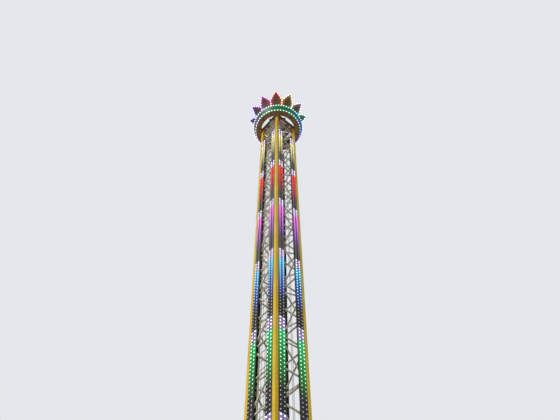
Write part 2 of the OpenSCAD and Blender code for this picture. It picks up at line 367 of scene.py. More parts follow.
# %% World and suns
SKY_LIGHT, SKY_SEEN = (0.93, 0.96, 1.0, 1), (0.78, 0.80, 0.83, 1)
world = bpy.data.worlds.new("studio")
bpy.context.scene.world = world
world.use_nodes = True
sky = world.node_tree
sky.nodes.clear()
sky_path = node(sky, "LightPath")
sky_share = maths(sky, "MAXIMUM", sky_path["Is Camera Ray"], sky_path["Is Glossy Ray"])
sky_share = maths(sky, "MAXIMUM", sky_share, sky_path["Is Transmission Ray"])
sky_light = node(sky, "Background", Color=SKY_LIGHT, Strength=0.5)
sky_seen = node(sky, "Background", Color=SKY_SEEN, Strength=1.0)
sky_mix = node(sky, "MixShader", {0: sky_share, 1: sky_light[0], 2: sky_seen[0]})
node(sky, "OutputWorld", {"Surface": sky_mix[0]})


def add_sun(name, towards, strength, width, colour):
    """A sun that shines in a direction. Its width, in degrees, softens the shadows."""
    sun = bpy.data.objects.new(name, bpy.data.lights.new(name, "SUN"))
    bpy.context.scene.collection.objects.link(sun)
    sun.data.energy = strength
    sun.data.angle = math.radians(width)
    sun.data.color = colour
    sun.rotation_euler = Vector(towards).to_track_quat("-Z", "Y").to_euler()


add_sun("key_sun", (0.93, 0.16, -0.45), 2.0, 25, (1.0, 0.97, 0.92))
add_sun("fill_sun", (-0.75, -0.5, -0.35), 0.7, 40, (0.95, 0.97, 1.0))
bpy.context.scene.view_settings.view_transform = "Standard"

# %% [markdown]
# ## Floor
# The tower stands on a pale round floor. It keeps the shadow, and near its
# rim it fades into the background colour, so that no edge shows.

# %% Floor
FLOOR_RADIUS, FADE_START, FADE_END = 7.0, 2.6, 6.6
clear_selection()
bpy.ops.mesh.primitive_circle_add(
    vertices=96, radius=FLOOR_RADIUS, fill_type="NGON", location=(0, 0, -0.002)
)
floor = bpy.context.object
floor.name = "floor"
floor_paint, floor_tree, floor_body = new_material("floor_pale")
set_inputs(floor_body, Base_Color=(0.72, 0.73, 0.75, 1), Roughness=0.7)
floor_fade = node(floor_tree, "Emission", Color=SKY_SEEN)
floor_place = node(floor_tree, "TexCoord")["Object"]
floor_far = node(floor_tree, "VectorMath", {0: floor_place}, operation="LENGTH")["Value"]
floor_rim = remap(floor_tree, floor_far, FADE_START, FADE_END)
floor_ray = node(floor_tree, "LightPath")["Is Camera Ray"]
floor_share = maths(floor_tree, "MULTIPLY", floor_rim, floor_ray)
floor_shaders = {0: floor_share, 1: floor_body.outputs[0], 2: floor_fade[0]}
floor_mix = node(floor_tree, "MixShader", floor_shaders)
link_inputs(floor_tree, floor_tree.nodes["Material Output"], Surface=floor_mix[0])
floor.data.materials.append(floor_paint)
print("floor radius:", round(max(v.co.length for v in floor.data.vertices), 2))

# %% [markdown]
# ## Effects shared by several finishes
# Paint outdoors is never one flat colour. Rain leaves thin streaks, dust lies
# on what faces up, and the film has a slight orange-peel ripple. Each effect
# is a node group, built once, and each material sets its own amounts.

# %% Weathering group
weathering, w_in, w_out = new_group(
    "weathering", {"Patch Scale": 1.5, "Streak Scale": 22.0}, ["Patches", "Streaks", "Dust"]
)
w_place = node(weathering, "TexCoord")["Object"]
w_long = node(weathering, "Mapping", {"Vector": w_place}, Scale=(1, 1, 0.045))[0]
w_noise = node(weathering, "TexNoise", {"Vector": w_place, "Scale": w_in.outputs["Patch Scale"]}, Detail=6.0)
w_streak = node(weathering, "TexNoise", {"Vector": w_long, "Scale": w_in.outputs["Streak Scale"]}, Detail=3.0)
w_fine = node(weathering, "TexNoise", {"Vector": w_place}, Scale=60.0, Detail=4.0)
w_way = node(weathering, "NewGeometry")["Normal"]
w_up = remap(weathering, node(weathering, "SeparateXYZ", {"Vector": w_way})["Z"], 0.35, 0.95)
w_patches = remap(weathering, w_noise[0], 0.38, 0.68)
w_wet = remap(weathering, w_noise[0], 0.35, 0.6)
w_runs = maths(weathering, "MULTIPLY", remap(weathering, w_streak[0], 0.5, 0.72), w_wet)
w_grains = remap(weathering, w_fine[0], 0.3, 0.7, 0.35, 1.0)
w_dust = maths(weathering, "MULTIPLY", w_up, w_grains)
link_inputs(weathering, w_out, Patches=w_patches, Streaks=w_runs, Dust=w_dust)
print("weathering outputs:", [s.name for s in w_out.inputs if s.name])

# %% Surface ripple, chips and zinc groups
ripple, r_in, r_out = new_group("surface_ripple", {"Scale": 180.0}, ["Height"])
r_place = node(ripple, "TexCoord")["Object"]
r_noise = node(ripple, "TexNoise", {"Vector": r_place, "Scale": r_in.outputs["Scale"]}, Detail=2.0)
link_inputs(ripple, r_out, Height=r_noise[0])

chips, c_in, c_out = new_group("paint_chips", {"Scale": 26.0, "Cover": 0.28}, ["Mask"])
c_place = node(chips, "TexCoord")["Object"]
c_cells = node(
    chips, "TexNoise", {"Vector": c_place, "Scale": c_in.outputs["Scale"]}, Detail=8.0, Roughness=0.65
)
c_where = node(chips, "TexNoise", {"Vector": c_place}, Scale=2.1, Detail=3.0)
c_fine = maths(chips, "MULTIPLY", c_cells[0], 0.72)
c_broad = maths(chips, "MULTIPLY", c_where[0], c_in.outputs["Cover"])
link_inputs(chips, c_out, Mask=remap(chips, maths(chips, "ADD", c_fine, c_broad), 0.585, 0.6))

zinc, z_in, z_out = new_group("zinc_spangle", {"Scale": 55.0}, ["Flake", "Cloud"])
z_place = node(zinc, "TexCoord")["Object"]
z_cell = node(zinc, "TexVoronoi", {"Vector": z_place, "Scale": z_in.outputs["Scale"]})
z_split = node(zinc, "SeparateColor", {"Color": z_cell["Color"]})
z_cloud = node(zinc, "TexNoise", {"Vector": z_place}, Scale=4.0, Detail=5.0)
link_inputs(zinc, z_out, Flake=z_split[0], Cloud=z_cloud[0])
print("groups:", [g.name for g in bpy.data.node_groups])

# %% [markdown]
# ## Painted steel
# Posts, beams, lattice, crown and gondola are painted steel. One recipe makes
# them all: a base colour that drifts a little, darker streaks, dust on the
# upper faces, a few chips down to the primer, and a fine ripple in the film.

# %% Painted steel finishes
PRIMER, DUST_COLOUR = (0.22, 0.13, 0.08), (0.36, 0.32, 0.26)


def painted(
    name, colour, roughness, drift=0.16, streak=0.3, dust=0.35, chip=0.2, coat=0.0, gloss=0.35
):
    mat, tree, body = new_material(name)
    wear = use(tree, weathering)
    chipped = use(tree, chips, Cover=chip)
    film = use(tree, ripple)
    patches = remap(tree, wear["Patches"], 0, 1, 0, drift * 3)
    streaks = maths(tree, "MULTIPLY", wear["Streaks"], streak)
    dirt = maths(tree, "MULTIPLY", wear["Dust"], dust)
    shade = blend(tree, patches, toned(colour, 1.12, 0.01), toned(colour, 0.72))
    shade = blend(tree, streaks, shade, toned(colour, 0.35, 0.01))
    shade = blend(tree, dirt, shade, DUST_COLOUR)
    shade = blend(tree, chipped["Mask"], shade, PRIMER)
    worn = maths(tree, "MULTIPLY", wear["Patches"], 0.15)
    bare = maths(tree, "MULTIPLY", chipped["Mask"], 0.3)
    rough = maths(tree, "ADD", maths(tree, "ADD", worn, roughness - 0.05), bare, clamp=True)
    bump = node(tree, "Bump", {"Height": film["Height"]}, Strength=0.06, Distance=0.002)
    step = {"Height": chipped["Mask"], "Normal": bump["Normal"]}
    edge = node(tree, "Bump", step, invert=True, Strength=0.5, Distance=0.0006)
    link_inputs(tree, body, Base_Color=shade, Roughness=rough, Normal=edge["Normal"])
    set_inputs(body, Coat_Weight=coat, Coat_Roughness=0.12, Specular_IOR_Level=gloss)
    return mat


post_yellow = painted("post_yellow", (0.62, 0.41, 0.004), 0.36, drift=0.14, streak=0.32, coat=0.03, gloss=0.2)
lattice_cream = painted("lattice_cream", (0.56, 0.51, 0.35), 0.42, drift=0.16, streak=0.4)
base_grey = painted("base_grey", (0.055, 0.06, 0.07), 0.45, chip=0.24, dust=0.6)
machine_grey = painted("machine_grey", (0.16, 0.19, 0.22), 0.4, chip=0.2)
head_bronze = painted("head_bronze", (0.20, 0.10, 0.022), 0.42, drift=0.24, streak=0.4, dust=0.4)
panel_cream = painted("panel_cream", (0.52, 0.47, 0.35), 0.35, coat=0.3)
print("painted:", [m.name for m in bpy.data.materials])

# %% [markdown]
# ## Bare metal and rope
# The ladder's clips, the head's deck, the petal hoop and the bolts are
# galvanised: pale grey zinc in small crystals of slightly different tone. The
# rope has wires laid in a spiral, which a slanting wave shows as a bump.

# %% Zinc, dark steel and rope
RUST = (0.12, 0.09, 0.06)


def metal(name, colour, roughness, flake=0.12, scale=55.0):
    mat, tree, body = new_material(name)
    skin = use(tree, zinc, Scale=scale)
    wear = use(tree, weathering, Patch_Scale=3.0)
    shade = blend(tree, skin["Flake"], toned(colour, 1 - flake * 2), toned(colour, 1 + flake))
    shade = blend(tree, maths(tree, "MULTIPLY", wear["Streaks"], 0.4), shade, RUST)
    rough = remap(tree, skin["Cloud"], 0.3, 0.7, roughness - 0.1, roughness + 0.12)
    bump = node(tree, "Bump", {"Height": skin["Flake"]}, Strength=0.08, Distance=0.0008)
    link_inputs(tree, body, Base_Color=shade, Roughness=rough, Normal=bump["Normal"])
    set_inputs(body, Metallic=1.0)
    return mat


galvanised = metal("galvanised", (0.56, 0.57, 0.58), 0.48)
bolt_zinc = metal("bolt_zinc", (0.62, 0.61, 0.57), 0.36, scale=240.0)
machined = metal("machined", (0.42, 0.43, 0.45), 0.3, flake=0.05, scale=150.0)

rope_wire = metal("rope_wire", (0.21, 0.21, 0.215), 0.42, flake=0.1, scale=400.0)
rope_tree = rope_wire.node_tree
rope_place = node(rope_tree, "TexCoord")["Object"]
rope_lean = (math.radians(35), math.radians(-35), 0)
rope_slant = node(rope_tree, "Mapping", {"Vector": rope_place}, Rotation=rope_lean)[0]
rope_lay = node(
    rope_tree, "TexWave", {"Vector": rope_slant}, bands_direction="Z", Scale=38.0, Distortion=0.4
)
rope_bump = node(rope_tree, "Bump", {"Height": rope_lay[0]}, Strength=0.7, Distance=0.002)
link_inputs(rope_tree, rope_tree.nodes["Principled BSDF"], Normal=rope_bump["Normal"])
print("metals ready")

# %% [markdown]
# ## Moulded plastic and foam
# The seats are glossy mouldings with a faint pebbled skin. The pads are foam
# with a grained skin, duller than the seats. Wheels, stop blocks and lamp
# collars take the same recipe with a grain of their own.

# %% Plastic and foam finishes
LIGHT_DUST = (0.4, 0.38, 0.34)


def moulded(name, colour, roughness, grain_scale, grain, coat=0.0):
    mat, tree, body = new_material(name)
    wear = use(tree, weathering, Patch_Scale=5.0, Streak_Scale=40.0)
    skin = use(tree, ripple, Scale=grain_scale)
    patches = maths(tree, "MULTIPLY", wear["Patches"], 0.4)
    dirt = maths(tree, "MULTIPLY", wear["Dust"], 0.12)
    shade = blend(tree, dirt, blend(tree, patches, colour, toned(colour, 0.78)), LIGHT_DUST)
    rough = remap(tree, wear["Patches"], 0, 1, roughness, roughness + 0.14)
    bump = node(tree, "Bump", {"Height": skin["Height"]}, Strength=grain, Distance=0.0012)
    link_inputs(tree, body, Base_Color=shade, Roughness=rough, Normal=bump["Normal"])
    set_inputs(body, Coat_Weight=coat)
    return mat


seat_blue = moulded("seat_blue", (0.02, 0.07, 0.27), 0.22, 500.0, 0.12, coat=0.3)
pad_black = moulded("pad_black", (0.022, 0.022, 0.024), 0.5, 700.0, 0.4)
foam_red = moulded("foam_red", (0.42, 0.02, 0.018), 0.42, 650.0, 0.35)
wheel_black = moulded("wheel_black", (0.03, 0.03, 0.03), 0.45, 300.0, 0.2)
stop_red = moulded("stop_red", (0.45, 0.05, 0.022), 0.45, 400.0, 0.25)
collar_black = moulded("collar_black", (0.03, 0.03, 0.033), 0.4, 800.0, 0.15)
print("mouldings ready")

# %% [markdown]
# ## Lamps and what they light
# Each lamp is a clear cap on a dark collar. A colour attribute on the mesh
# says what light a lamp gives off, already scaled by how bright it is. Its
# alpha says how much of the cap's own pale grey that colour covers. The boards
# and the crown's sheets carry the same attribute: on them it is painted light,
# the glow that the lamps throw on them, given off by the sheets themselves.

# %% Lamp finishes and painted lamp light
def add_glow(mat, tree, body, strength):
    """Lets a material give off the light of its mesh's glow attribute, and gives the attribute back."""
    paint = node(tree, "Attribute", attribute_name="glow")
    link_inputs(tree, body, Emission_Color=paint["Color"])
    set_inputs(body, Emission_Strength=strength)
    mat.cycles.emission_sampling = "NONE"
    return paint


lamp_cap, lamp_tree, lamp_body = new_material("lamp_cap")
lamp_paint = add_glow(lamp_cap, lamp_tree, lamp_body, 3.0)
lamp_skin = use(lamp_tree, ripple, Scale=900.0)["Height"]
lamp_grey = blend(lamp_tree, lamp_skin, (0.62, 0.60, 0.60), (0.76, 0.74, 0.74))
lamp_lit = maths(lamp_tree, "MULTIPLY", lamp_paint["Alpha"], 0.85, clamp=True)
lamp_shade = blend(lamp_tree, lamp_lit, lamp_grey, lamp_paint["Color"])
lamp_bump = node(lamp_tree, "Bump", {"Height": lamp_skin}, Strength=0.1, Distance=0.0005)
link_inputs(lamp_tree, lamp_body, Base_Color=lamp_shade, Normal=lamp_bump["Normal"])
set_inputs(lamp_body, Roughness=0.25)


# Painted steel that also gives off painted light: the glow that nearby lamps throw on it, read from the glow
# attribute.
def tinted(name, colour, roughness, strength):
    mat = painted(name, colour, roughness, drift=0.2, streak=0.2, dust=0.15, chip=0.16, gloss=0.22)
    add_glow(mat, mat.node_tree, mat.node_tree.nodes["Principled BSDF"], strength)
    return mat


fascia_plain = painted("fascia_plain", (0.05, 0.033, 0.024), 0.45, drift=0.2)
# Boards, band and petal sheets: their own dark paint, plus the painted glow of the lamps.
board_black = tinted("board_black", (0.012, 0.011, 0.011), 0.58, 0.6)
fascia_dark = tinted("fascia_dark", (0.03, 0.02, 0.016), 0.45, 0.75)
petal_sheet = tinted("petal_sheet", (0.11, 0.056, 0.018), 0.42, 0.95)
print("lamp finishes ready")

# %% [markdown]
# ## Corner posts
# A square tube is rolled, so its corners are round. The cube is scaled to the
# post's size, its four long edges are beveled, and its foot and cap plates are
# thin boxes with small bevels. One post is modelled, and the rest are copies.

# %% Corner posts
HALF, POST = 0.56, 0.11  # half the tower's width over its posts, and a post's width
POST_C, INNER = HALF - POST / 2, HALF - POST
POST_FOOT, POST_TOP, END_GAP = 0.2, 21.9, 0.018
NUT_C = 0.075
CORNERS = {"front_left": (-1, -1), "front_right": (1, -1), "back_left": (-1, 1), "back_right": (1, 1)}
shaft_h = POST_TOP - POST_FOOT - 2 * END_GAP
shaft = box((POST, POST, shaft_h), (0, 0, (POST_TOP + POST_FOOT) / 2))
pick_edges(shaft, lambda a, b: abs(a.z - b.z) > 1)
bpy.ops.mesh.bevel(offset=0.014, segments=4)
close_edit()
foot = box((0.19, 0.19, 0.02), (0, 0, POST_FOOT + 0.01), 0.003)
cap = box((POST, POST, 0.016), (0, 0, POST_TOP - 0.01), 0.003)
weld = box((0.126, 0.126, 0.01), (0, 0, POST_FOOT + 0.024), 0.008, 3)
nut = rod(0.017, (NUT_C, NUT_C, POST_FOOT + 0.02), (NUT_C, NUT_C, POST_FOOT + 0.036), 6, 0.002)
tip = rod(0.01, (NUT_C, NUT_C, POST_FOOT + 0.03), (NUT_C, NUT_C, POST_FOOT + 0.05), 12, 0.0015)
nuts = spread(join([nut, tip]), turns(4))
corner_moves = {name: move(x * POST_C, y * POST_C, 0) for name, (x, y) in CORNERS.items()}
post = smooth(join([shaft, foot, cap, weld]))
pieces_at(post, corner_moves, "post_tube_", post_yellow, "post_yellow", "post_")
foot_nuts = spread(nuts, corner_moves.values())
piece(smooth(foot_nuts), "post_foot_nuts", bolt_zinc, "galvanised")

# %% [markdown]
# ## Lattice
# Each face has level bars and diagonals that turn back at every panel. The
# bars are square tubes. Where two diagonals meet a post, a gusset plate ties
# them, and every end has a weld. Two panels make one repeat, so an Array
# modifier stacks the rest.

# %% Lattice
BAR, PANEL, FIRST_BAR, PANELS = 0.04, 1.04, 0.49, 20
BAR_Y = -0.4997  # the middle plane of the front face's bars
TOP_BAR = FIRST_BAR + PANELS * PANEL
PAIR = (0, 0, 2 * PANEL)


def lattice_side():
    level = box((2 * INNER, BAR, BAR), (0, BAR_Y, FIRST_BAR), 0.006, 3)
    level = array(level, PANELS + 1, (0, 0, PANEL))
    length = math.hypot(2 * INNER, PANEL) - 0.03
    slope = math.atan2(PANEL, 2 * INNER)
    bar = box((length, BAR * 0.96, BAR), (0, 0, 0), 0.006, 3)
    falling = copy(bar, move(0, BAR_Y, FIRST_BAR + PANEL / 2) @ Matrix.Rotation(slope, 4, "Y"))
    rising = copy(bar, move(0, BAR_Y, FIRST_BAR + PANEL * 1.5) @ Matrix.Rotation(-slope, 4, "Y"))
    bpy.data.objects.remove(bar)
    return join([level, array(join([falling, rising]), PANELS // 2, PAIR)])


def gusset_plate():
    plate = box((0.13, 0.008, 0.36), (-INNER + 0.06, BAR_Y, 0))
    pick_edges(plate, lambda a, b: a.x > -0.4 and b.x > -0.4 and abs(a.y - b.y) > 0.004)
    bpy.ops.mesh.bevel(offset=0.1, segments=1, clamp_overlap=False)
    close_edit()
    return soften(plate, 0.0015, 1)


left_plate = gusset_plate()
right_plate = mirrored(left_plate)
right_plate.data.transform(move(0, 0, FIRST_BAR))
left_plate.data.transform(move(0, 0, FIRST_BAR + PANEL))
plates = join([array(right_plate, PANELS // 2 + 1, PAIR), array(left_plate, PANELS // 2, PAIR)])
bead = box((0.007, BAR + 0.01, BAR + 0.012), (INNER - 0.0035, BAR_Y, FIRST_BAR), 0.003, 2)
beads = array(join([bead, mirrored(bead)]), PANELS + 1, (0, 0, PANEL))
bars = smooth(join([lattice_side(), plates, beads]))
pieces_at(bars, FACES, "lattice_bars_", lattice_cream, "lattice_cream", "lattice_")

# %% [markdown]
# ## What the lamps show
# A chase runs down the boards: six falls of twenty-four lamps. Each has a
# white head, bright and dim in turn, then a strong colour that sinks and
# fades, then a few unlit lamps. A function gives the colour for any row. The
# lamps ask it, and so does the board behind them, for the painted light that
# the lamps throw on it.

# %% Colours of the chase
FALL, ROW, TOP_ROW = 24, 0.125, 20.3125
HEAD_ROWS, SINK_ROWS, HEAD_DIM, FADE_POWER = 4, 12, 0.7, 0.7
# The second colour is painted light: the violet glow that the white heads throw on the board.
HEAD, HEAD_GLOW_ON_BOARD = (0.93, 0.88, 1.0), (0.52, 0.42, 0.88)

# For each fall: its first colour, its last colour and the row where it is dark.
FALLS = [
    ((1.0, 0.92, 0.50), (0.86, 0.77, 0.27), 18.5),
    ((1.0, 0.012, 0.022), (0.85, 0.003, 0.016), 19.0),
    ((0.95, 0.10, 0.85), (0.42, 0.03, 0.75), 18.5),
    ((0.03, 0.70, 0.98), (0.01, 0.16, 0.86), 18.0),
    ((0.01, 0.84, 0.34), (0.0, 0.62, 0.07), 17.5),
    ((0.55, 0.42, 1.0), (0.40, 0.30, 0.95), 17.5),
]
ROWS = FALL * len(FALLS)


def nearest_row(height):
    """The row of lamps nearest to a height, counted from the top."""
    return min(ROWS - 1, max(0, round((TOP_ROW - height) / ROW)))


def lerp(a, b, t):
    return tuple(x + (y - x) * t for x, y in zip(a, b))


def row_colour(row):
    """Colour and level of the lamps in a row."""
    fall, step = divmod(row, FALL)
    start, end, dark_step = FALLS[fall]
    if step < HEAD_ROWS:
        return HEAD, 1.0 if step % 2 == 0 else HEAD_DIM
    left = (dark_step - step) / (dark_step - HEAD_ROWS - 1)
    level = min(1.0, max(0.0, left)) ** FADE_POWER
    return lerp(start, end, min(1.0, (step - HEAD_ROWS) / SINK_ROWS)), level


print("row 0:", row_colour(0), "row 10:", row_colour(10), "row 22:", row_colour(22))

# %% Light on caps and sheets
CORE_R, CORE_EDGE = 0.016, 1.35  # the white core's radius, and how sharply it ends
RIM_R, RIM_DIM = 0.018, 0.6


def soaked(colour):
    """The deeper colour of the painted light that a lamp of a colour throws on dark sheet."""
    return tuple(c ** 1.5 for c in colour)


def cored(colour, distance, share):
    """A lit cap is white over its light source, coloured round it and dim at its rim."""
    white = share * min(1.0, max(0.0, CORE_EDGE - distance / CORE_R))
    bright = RIM_DIM if distance > RIM_R else 1.0
    return tuple(c * bright for c in lerp(colour, (1, 1, 1), white))


def paint_glow(ob, colour_at):
    """Writes the glow attribute. colour_at(point) gives a colour and a level.

    Alpha is the level's square root, so that a half-lit cap still looks coloured.
    """
    glow = ob.data.attributes.new("glow", "FLOAT_COLOR", "POINT")
    for vertex, item in zip(ob.data.vertices, glow.data):
        colour, level = colour_at(vertex.co)
        item.color = (*[c * level for c in colour], math.sqrt(level))


print("tint on a sheet under a red lamp:", soaked(FALLS[1][0]))

# %% [markdown]
# ## Lamp boards
# A board is a folded tray: a flat front with its edges turned back. It starts
# as a grid, fine enough to carry row by row the painted light that the lamps
# throw on it. Its border is extruded backwards and Solidify gives the sheet its
# thickness.

# %% Lamp boards
BOARD_X, BOARD_W, BOARD_T, SHEET_T = 0.3322, 0.235, 0.04, 0.003
SECTION, SECTIONS, BOARD_FOOT = 3.0, 6, 2.375
SCREW_X, SCREW_RISE, SCREW_STEP = 0.108, 0.06, 0.575
COLUMN_X, COLUMN_HALF = 0.06, 0.01  # where the light is full across a board


def board_section():
    clear_selection()
    bpy.ops.mesh.primitive_grid_add(x_subdivisions=8, y_subdivisions=48, size=1)
    tray = bpy.context.object
    tray.data.transform(
        move(0, -HALF + 0.0005, BOARD_FOOT + SECTION / 2)
        @ Matrix.Rotation(math.radians(90), 4, "X")
        @ Matrix.Diagonal((BOARD_W - 0.001, SECTION - 0.005, 1, 1))
    )
    edit_all(tray)
    bpy.ops.mesh.region_to_loop()
    bpy.ops.mesh.extrude_edges_move(TRANSFORM_OT_translate={"value": (0, BOARD_T - 0.001, 0)})
    close_edit()
    soften(outward(tray), 0.004, 2, angle=60)
    return modify(tray, "SOLIDIFY", thickness=SHEET_T, offset=-1)


# Painted light: the glow that a row's lamps throw on the board's front, fullest along the lamp columns.
def board_tint(point):
    row = nearest_row(point.z)
    colour, level = row_colour(row)
    beside = max(0.0, abs(abs(point.x) - COLUMN_X) - COLUMN_HALF)
    across = 1.0 - 0.3 * min(1.0, beside / 0.05)
    front = 1.0 if point.y < -HALF + 0.0015 else 0.0
    glow_colour = HEAD_GLOW_ON_BOARD if row % FALL < HEAD_ROWS else soaked(colour)
    return glow_colour, level * across * front


board_places = {
    f"{side}_{hand}": face @ move(x, 0, 0)
    for side, face in FACES.items()
    for hand, x in (("left", -BOARD_X), ("right", BOARD_X))
}
tray = array(board_section(), SECTIONS, (0, 0, SECTION))
paint_glow(tray, board_tint)
pieces_at(smooth(tray), board_places, "board_tray_", board_black, "board_black", "board_")
screw_z = BOARD_FOOT + SCREW_RISE
screw = rod(0.005, (SCREW_X, -HALF + 0.001, screw_z), (SCREW_X, -HALF - 0.003, screw_z), 8)
screws = spread(screw, [move(-2 * SCREW_X * a, 0, SCREW_STEP * b) for a in (0, 1) for b in range(6)])
screws = smooth(array(screws, SECTIONS, (0, 0, SECTION)))
piece(spread(screws, board_places.values()), "board_screws", bolt_zinc, "galvanised")

# %% [markdown]
# ## Board lamps
# A lamp is a short drum. Its end is extruded and scaled twice into a dome.
# The collar is a wider, shorter drum with a soft edge. Two thousand three
# hundred of them stand on the boards, so each has only a few dozen faces.

# %% Board lamps
CAP_R, COLLAR_R, LAMP_SIDES = 0.0195, 0.026, 10
DOME_STEPS = ((0.0038, 0.84), (0.0028, 0.55))  # how far each step rises and shrinks
COLUMNS = (-0.3955, -0.275, 0.275, 0.3955)


def drum(radius, depth, middle):
    """A short drum, left in edit mode with its outer end picked."""
    clear_selection()
    bpy.ops.mesh.primitive_cylinder_add(
        vertices=LAMP_SIDES, radius=radius, depth=depth, location=(0, 0, middle)
    )
    bpy.ops.object.transform_apply(location=True)
    ob = bpy.context.object
    pick_faces(ob, lambda c, n: n.z > 0.9)
    return ob


def lamp_parts():
    cap = drum(CAP_R, 0.005, 0.0055)
    for rise, factor in DOME_STEPS:
        bpy.ops.mesh.extrude_region_move(TRANSFORM_OT_translate={"value": (0, 0, rise)})
        bpy.ops.transform.resize(value=(factor, factor, 1), center_override=(0, 0, 0))
    bpy.ops.mesh.poke()
    close_edit()
    top = max(v.co.z for v in cap.data.vertices)
    for vertex in cap.data.vertices:
        if abs(vertex.co.z - top) < 1e-5 and vertex.co.to_2d().length < 1e-4:
            vertex.co.z += 0.001
    collar = drum(COLLAR_R, 0.004, 0.002)
    bpy.ops.mesh.inset(thickness=0.004)
    bpy.ops.transform.translate(value=(0, 0, 0.0015))
    close_edit()
    return smooth(cap, 60), smooth(collar, 50)


def board_bank(template):
    """All lamps of one face of the tower."""
    face_on = Matrix.Rotation(math.radians(90), 4, "X")
    first = spread(copy(template), [move(x, -HALF, TOP_ROW) @ face_on for x in COLUMNS])
    return array(first, ROWS, (0, 0, -ROW))


def bank_tint(point):
    """A pale colour has a whiter core than a pure one, and red has the least."""
    row = nearest_row(point.z)
    colour, level = row_colour(row)
    off = min(math.hypot(point.x - x, point.z - (TOP_ROW - row * ROW)) for x in COLUMNS)
    share = 0.85 * min(1.0, 1.2 * max(colour[1:])) * (1 - 0.4 * colour[0])
    return cored(colour, off, share), level


cap_one, collar_one = lamp_parts()
caps = board_bank(cap_one)
paint_glow(caps, bank_tint)
pieces_at(caps, FACES, "lamp_caps_", lamp_cap, "board_black")
pieces_at(board_bank(collar_one), FACES, "lamp_collars_", collar_black, "board_black")

# %% [markdown]
# ## The crown's band
# The band under the petals is a cone of sheet with a row of lamps on each
# rim. It starts as an open drum. Rings are cut in to carry the painted light
# of the lamps near both rims, each ring is widened to the cone, and Solidify
# gives the sheet its thickness.

# %% Crown band
CROWN_R1, CROWN_R2, CROWN_Z1, CROWN_Z2, BAND_T = 1.044, 1.176, 21.714, 22.08, 0.012


def band_radius(z):
    """The band's outer radius at a height."""
    return CROWN_R1 + (CROWN_R2 - CROWN_R1) * (z - CROWN_Z1) / (CROWN_Z2 - CROWN_Z1)


clear_selection()
bpy.ops.mesh.primitive_cylinder_add(
    vertices=120, radius=CROWN_R1, depth=CROWN_Z2 - CROWN_Z1,
    end_fill_type="NOTHING", location=(0, 0, (CROWN_Z1 + CROWN_Z2) / 2),
)
band = bpy.context.object
bpy.ops.object.transform_apply(location=True)
pick_edges(band, lambda a, b: abs(a.z - b.z) > 0.2)
bpy.ops.mesh.subdivide(number_cuts=7)
close_edit()
for vertex in band.data.vertices:
    vertex.co.x, vertex.co.y = vertex.co.to_2d().normalized() * band_radius(vertex.co.z)
modify(band, "SOLIDIFY", thickness=BAND_T, offset=-1)
for vertex in band.data.vertices:
    if vertex.co.z > CROWN_Z2 - BAND_T / 2:
        vertex.co.z = CROWN_Z2
    if vertex.co.z < CROWN_Z1 + BAND_T / 2:
        vertex.co.z = CROWN_Z1
soften(band, 0.003, 2, angle=60)
print("band faces:", len(band.data.polygons))

# %% Colours round the crown
# Twelve colours each, from 15 degrees on and 30 degrees apart.
RING_COLOURS = [
    (0.45, 0.12, 1.0), (0.85, 0.1, 0.9), (1.0, 0.35, 0.7), (0.95, 0.6, 0.95),
    (0.85, 0.72, 0.98), (0.75, 0.85, 0.98), (0.35, 0.92, 0.72), (0.02, 0.80, 0.40),
    (0.02, 0.82, 0.48), (0.02, 0.78, 0.85), (0.05, 0.35, 1.0), (0.15, 0.15, 1.0),
]
PETAL_COLOURS = [
    (0.40, 0.08, 1.0), (0.95, 0.08, 0.8), (1.0, 0.08, 0.05), (1.0, 0.75, 0.25),
    (0.03, 0.13, 1.0), (0.32, 0.08, 1.0), (0.95, 0.05, 0.85), (1.0, 0.06, 0.03),
    (1.0, 0.82, 0.35), (0.85, 0.70, 0.98), (0.03, 0.80, 0.42), (0.02, 0.4, 1.0),
]


def round_colour(table, x, y):
    """The colour at an angle round the crown, blended between the two nearest entries."""
    steps = (math.degrees(math.atan2(y, x)) - 15) % 360 / 30
    low = int(steps)
    return lerp(table[low % 12], table[(low + 1) % 12], steps - low)


# Painted light: the glow that the rim lamps throw on the band's outer face, fading away from each rim.
def band_tint(point):
    near = min(abs(point.z - CROWN_Z1), abs(point.z - CROWN_Z2))
    outer = point.to_2d().length > band_radius(point.z) - BAND_T / 2
    level = 0.9 * math.exp(-near / 0.07) if outer else 0.0
    return soaked(round_colour(RING_COLOURS, point.x, point.y)), level


paint_glow(band, band_tint)
piece(smooth(band), "crown_band", fascia_dark, "fascia_dark", "crown_fascia")

# %% [markdown]
# ## Crown lamps
# A cap and collar of the next size stand round both rims of the band, square
# to the sheet: forty-eight below and sixty above.

# %% Lamps round the band
LARGER = 1.25
slant = math.atan2(CROWN_R2 - CROWN_R1, CROWN_Z2 - CROWN_Z1)


def lamp_matrix(radius, angle, z, tilt, across=0.0):
    """A lamp that stands outwards at an angle round the axis, nodding down by the tilt."""
    return turn(angle) @ move(radius, across, z) @ Matrix.Rotation(math.radians(90) + tilt, 4, "Y")


def ring_tint(table, places, share):
    """A colour_at function for lamps at these places."""
    spots = [(m.to_translation(), m.inverted()) for m in places]

    def colour_at(point):
        centre, inverse = min(spots, key=lambda spot: (spot[0] - point).length_squared)
        off = (inverse @ point).to_2d().length / LARGER
        return cored(round_colour(table, centre.x, centre.y), off, share), 1.0

    return colour_at


ring_rows = ((48, CROWN_R1 + 0.0085, CROWN_Z1 + 0.0235), (60, CROWN_R2 - 0.0085, CROWN_Z2 - 0.0235))
ring_places = [
    lamp_matrix(radius, (i + 0.5) * 360 / count, z, slant)
    for count, radius, z in ring_rows
    for i in range(count)
]
cap_one.data.transform(Matrix.Scale(LARGER, 4))
collar_one.data.transform(Matrix.Scale(LARGER, 4))
ring_caps = spread(copy(cap_one), ring_places)
paint_glow(ring_caps, ring_tint(RING_COLOURS, ring_places, 0.7))
piece(ring_caps, "crown_band_caps", lamp_cap, "fascia_dark")
piece(spread(copy(collar_one), ring_places), "crown_band_collars", collar_black, "fascia_dark")

# %% [markdown]
# ## Joints of the crown's sheets
# The band and the underside come in twelve panels each, and flat strips cover
# the joints. A strip is a thin bevelled box, laid along the slope, and the
# turns round the axis copy it.

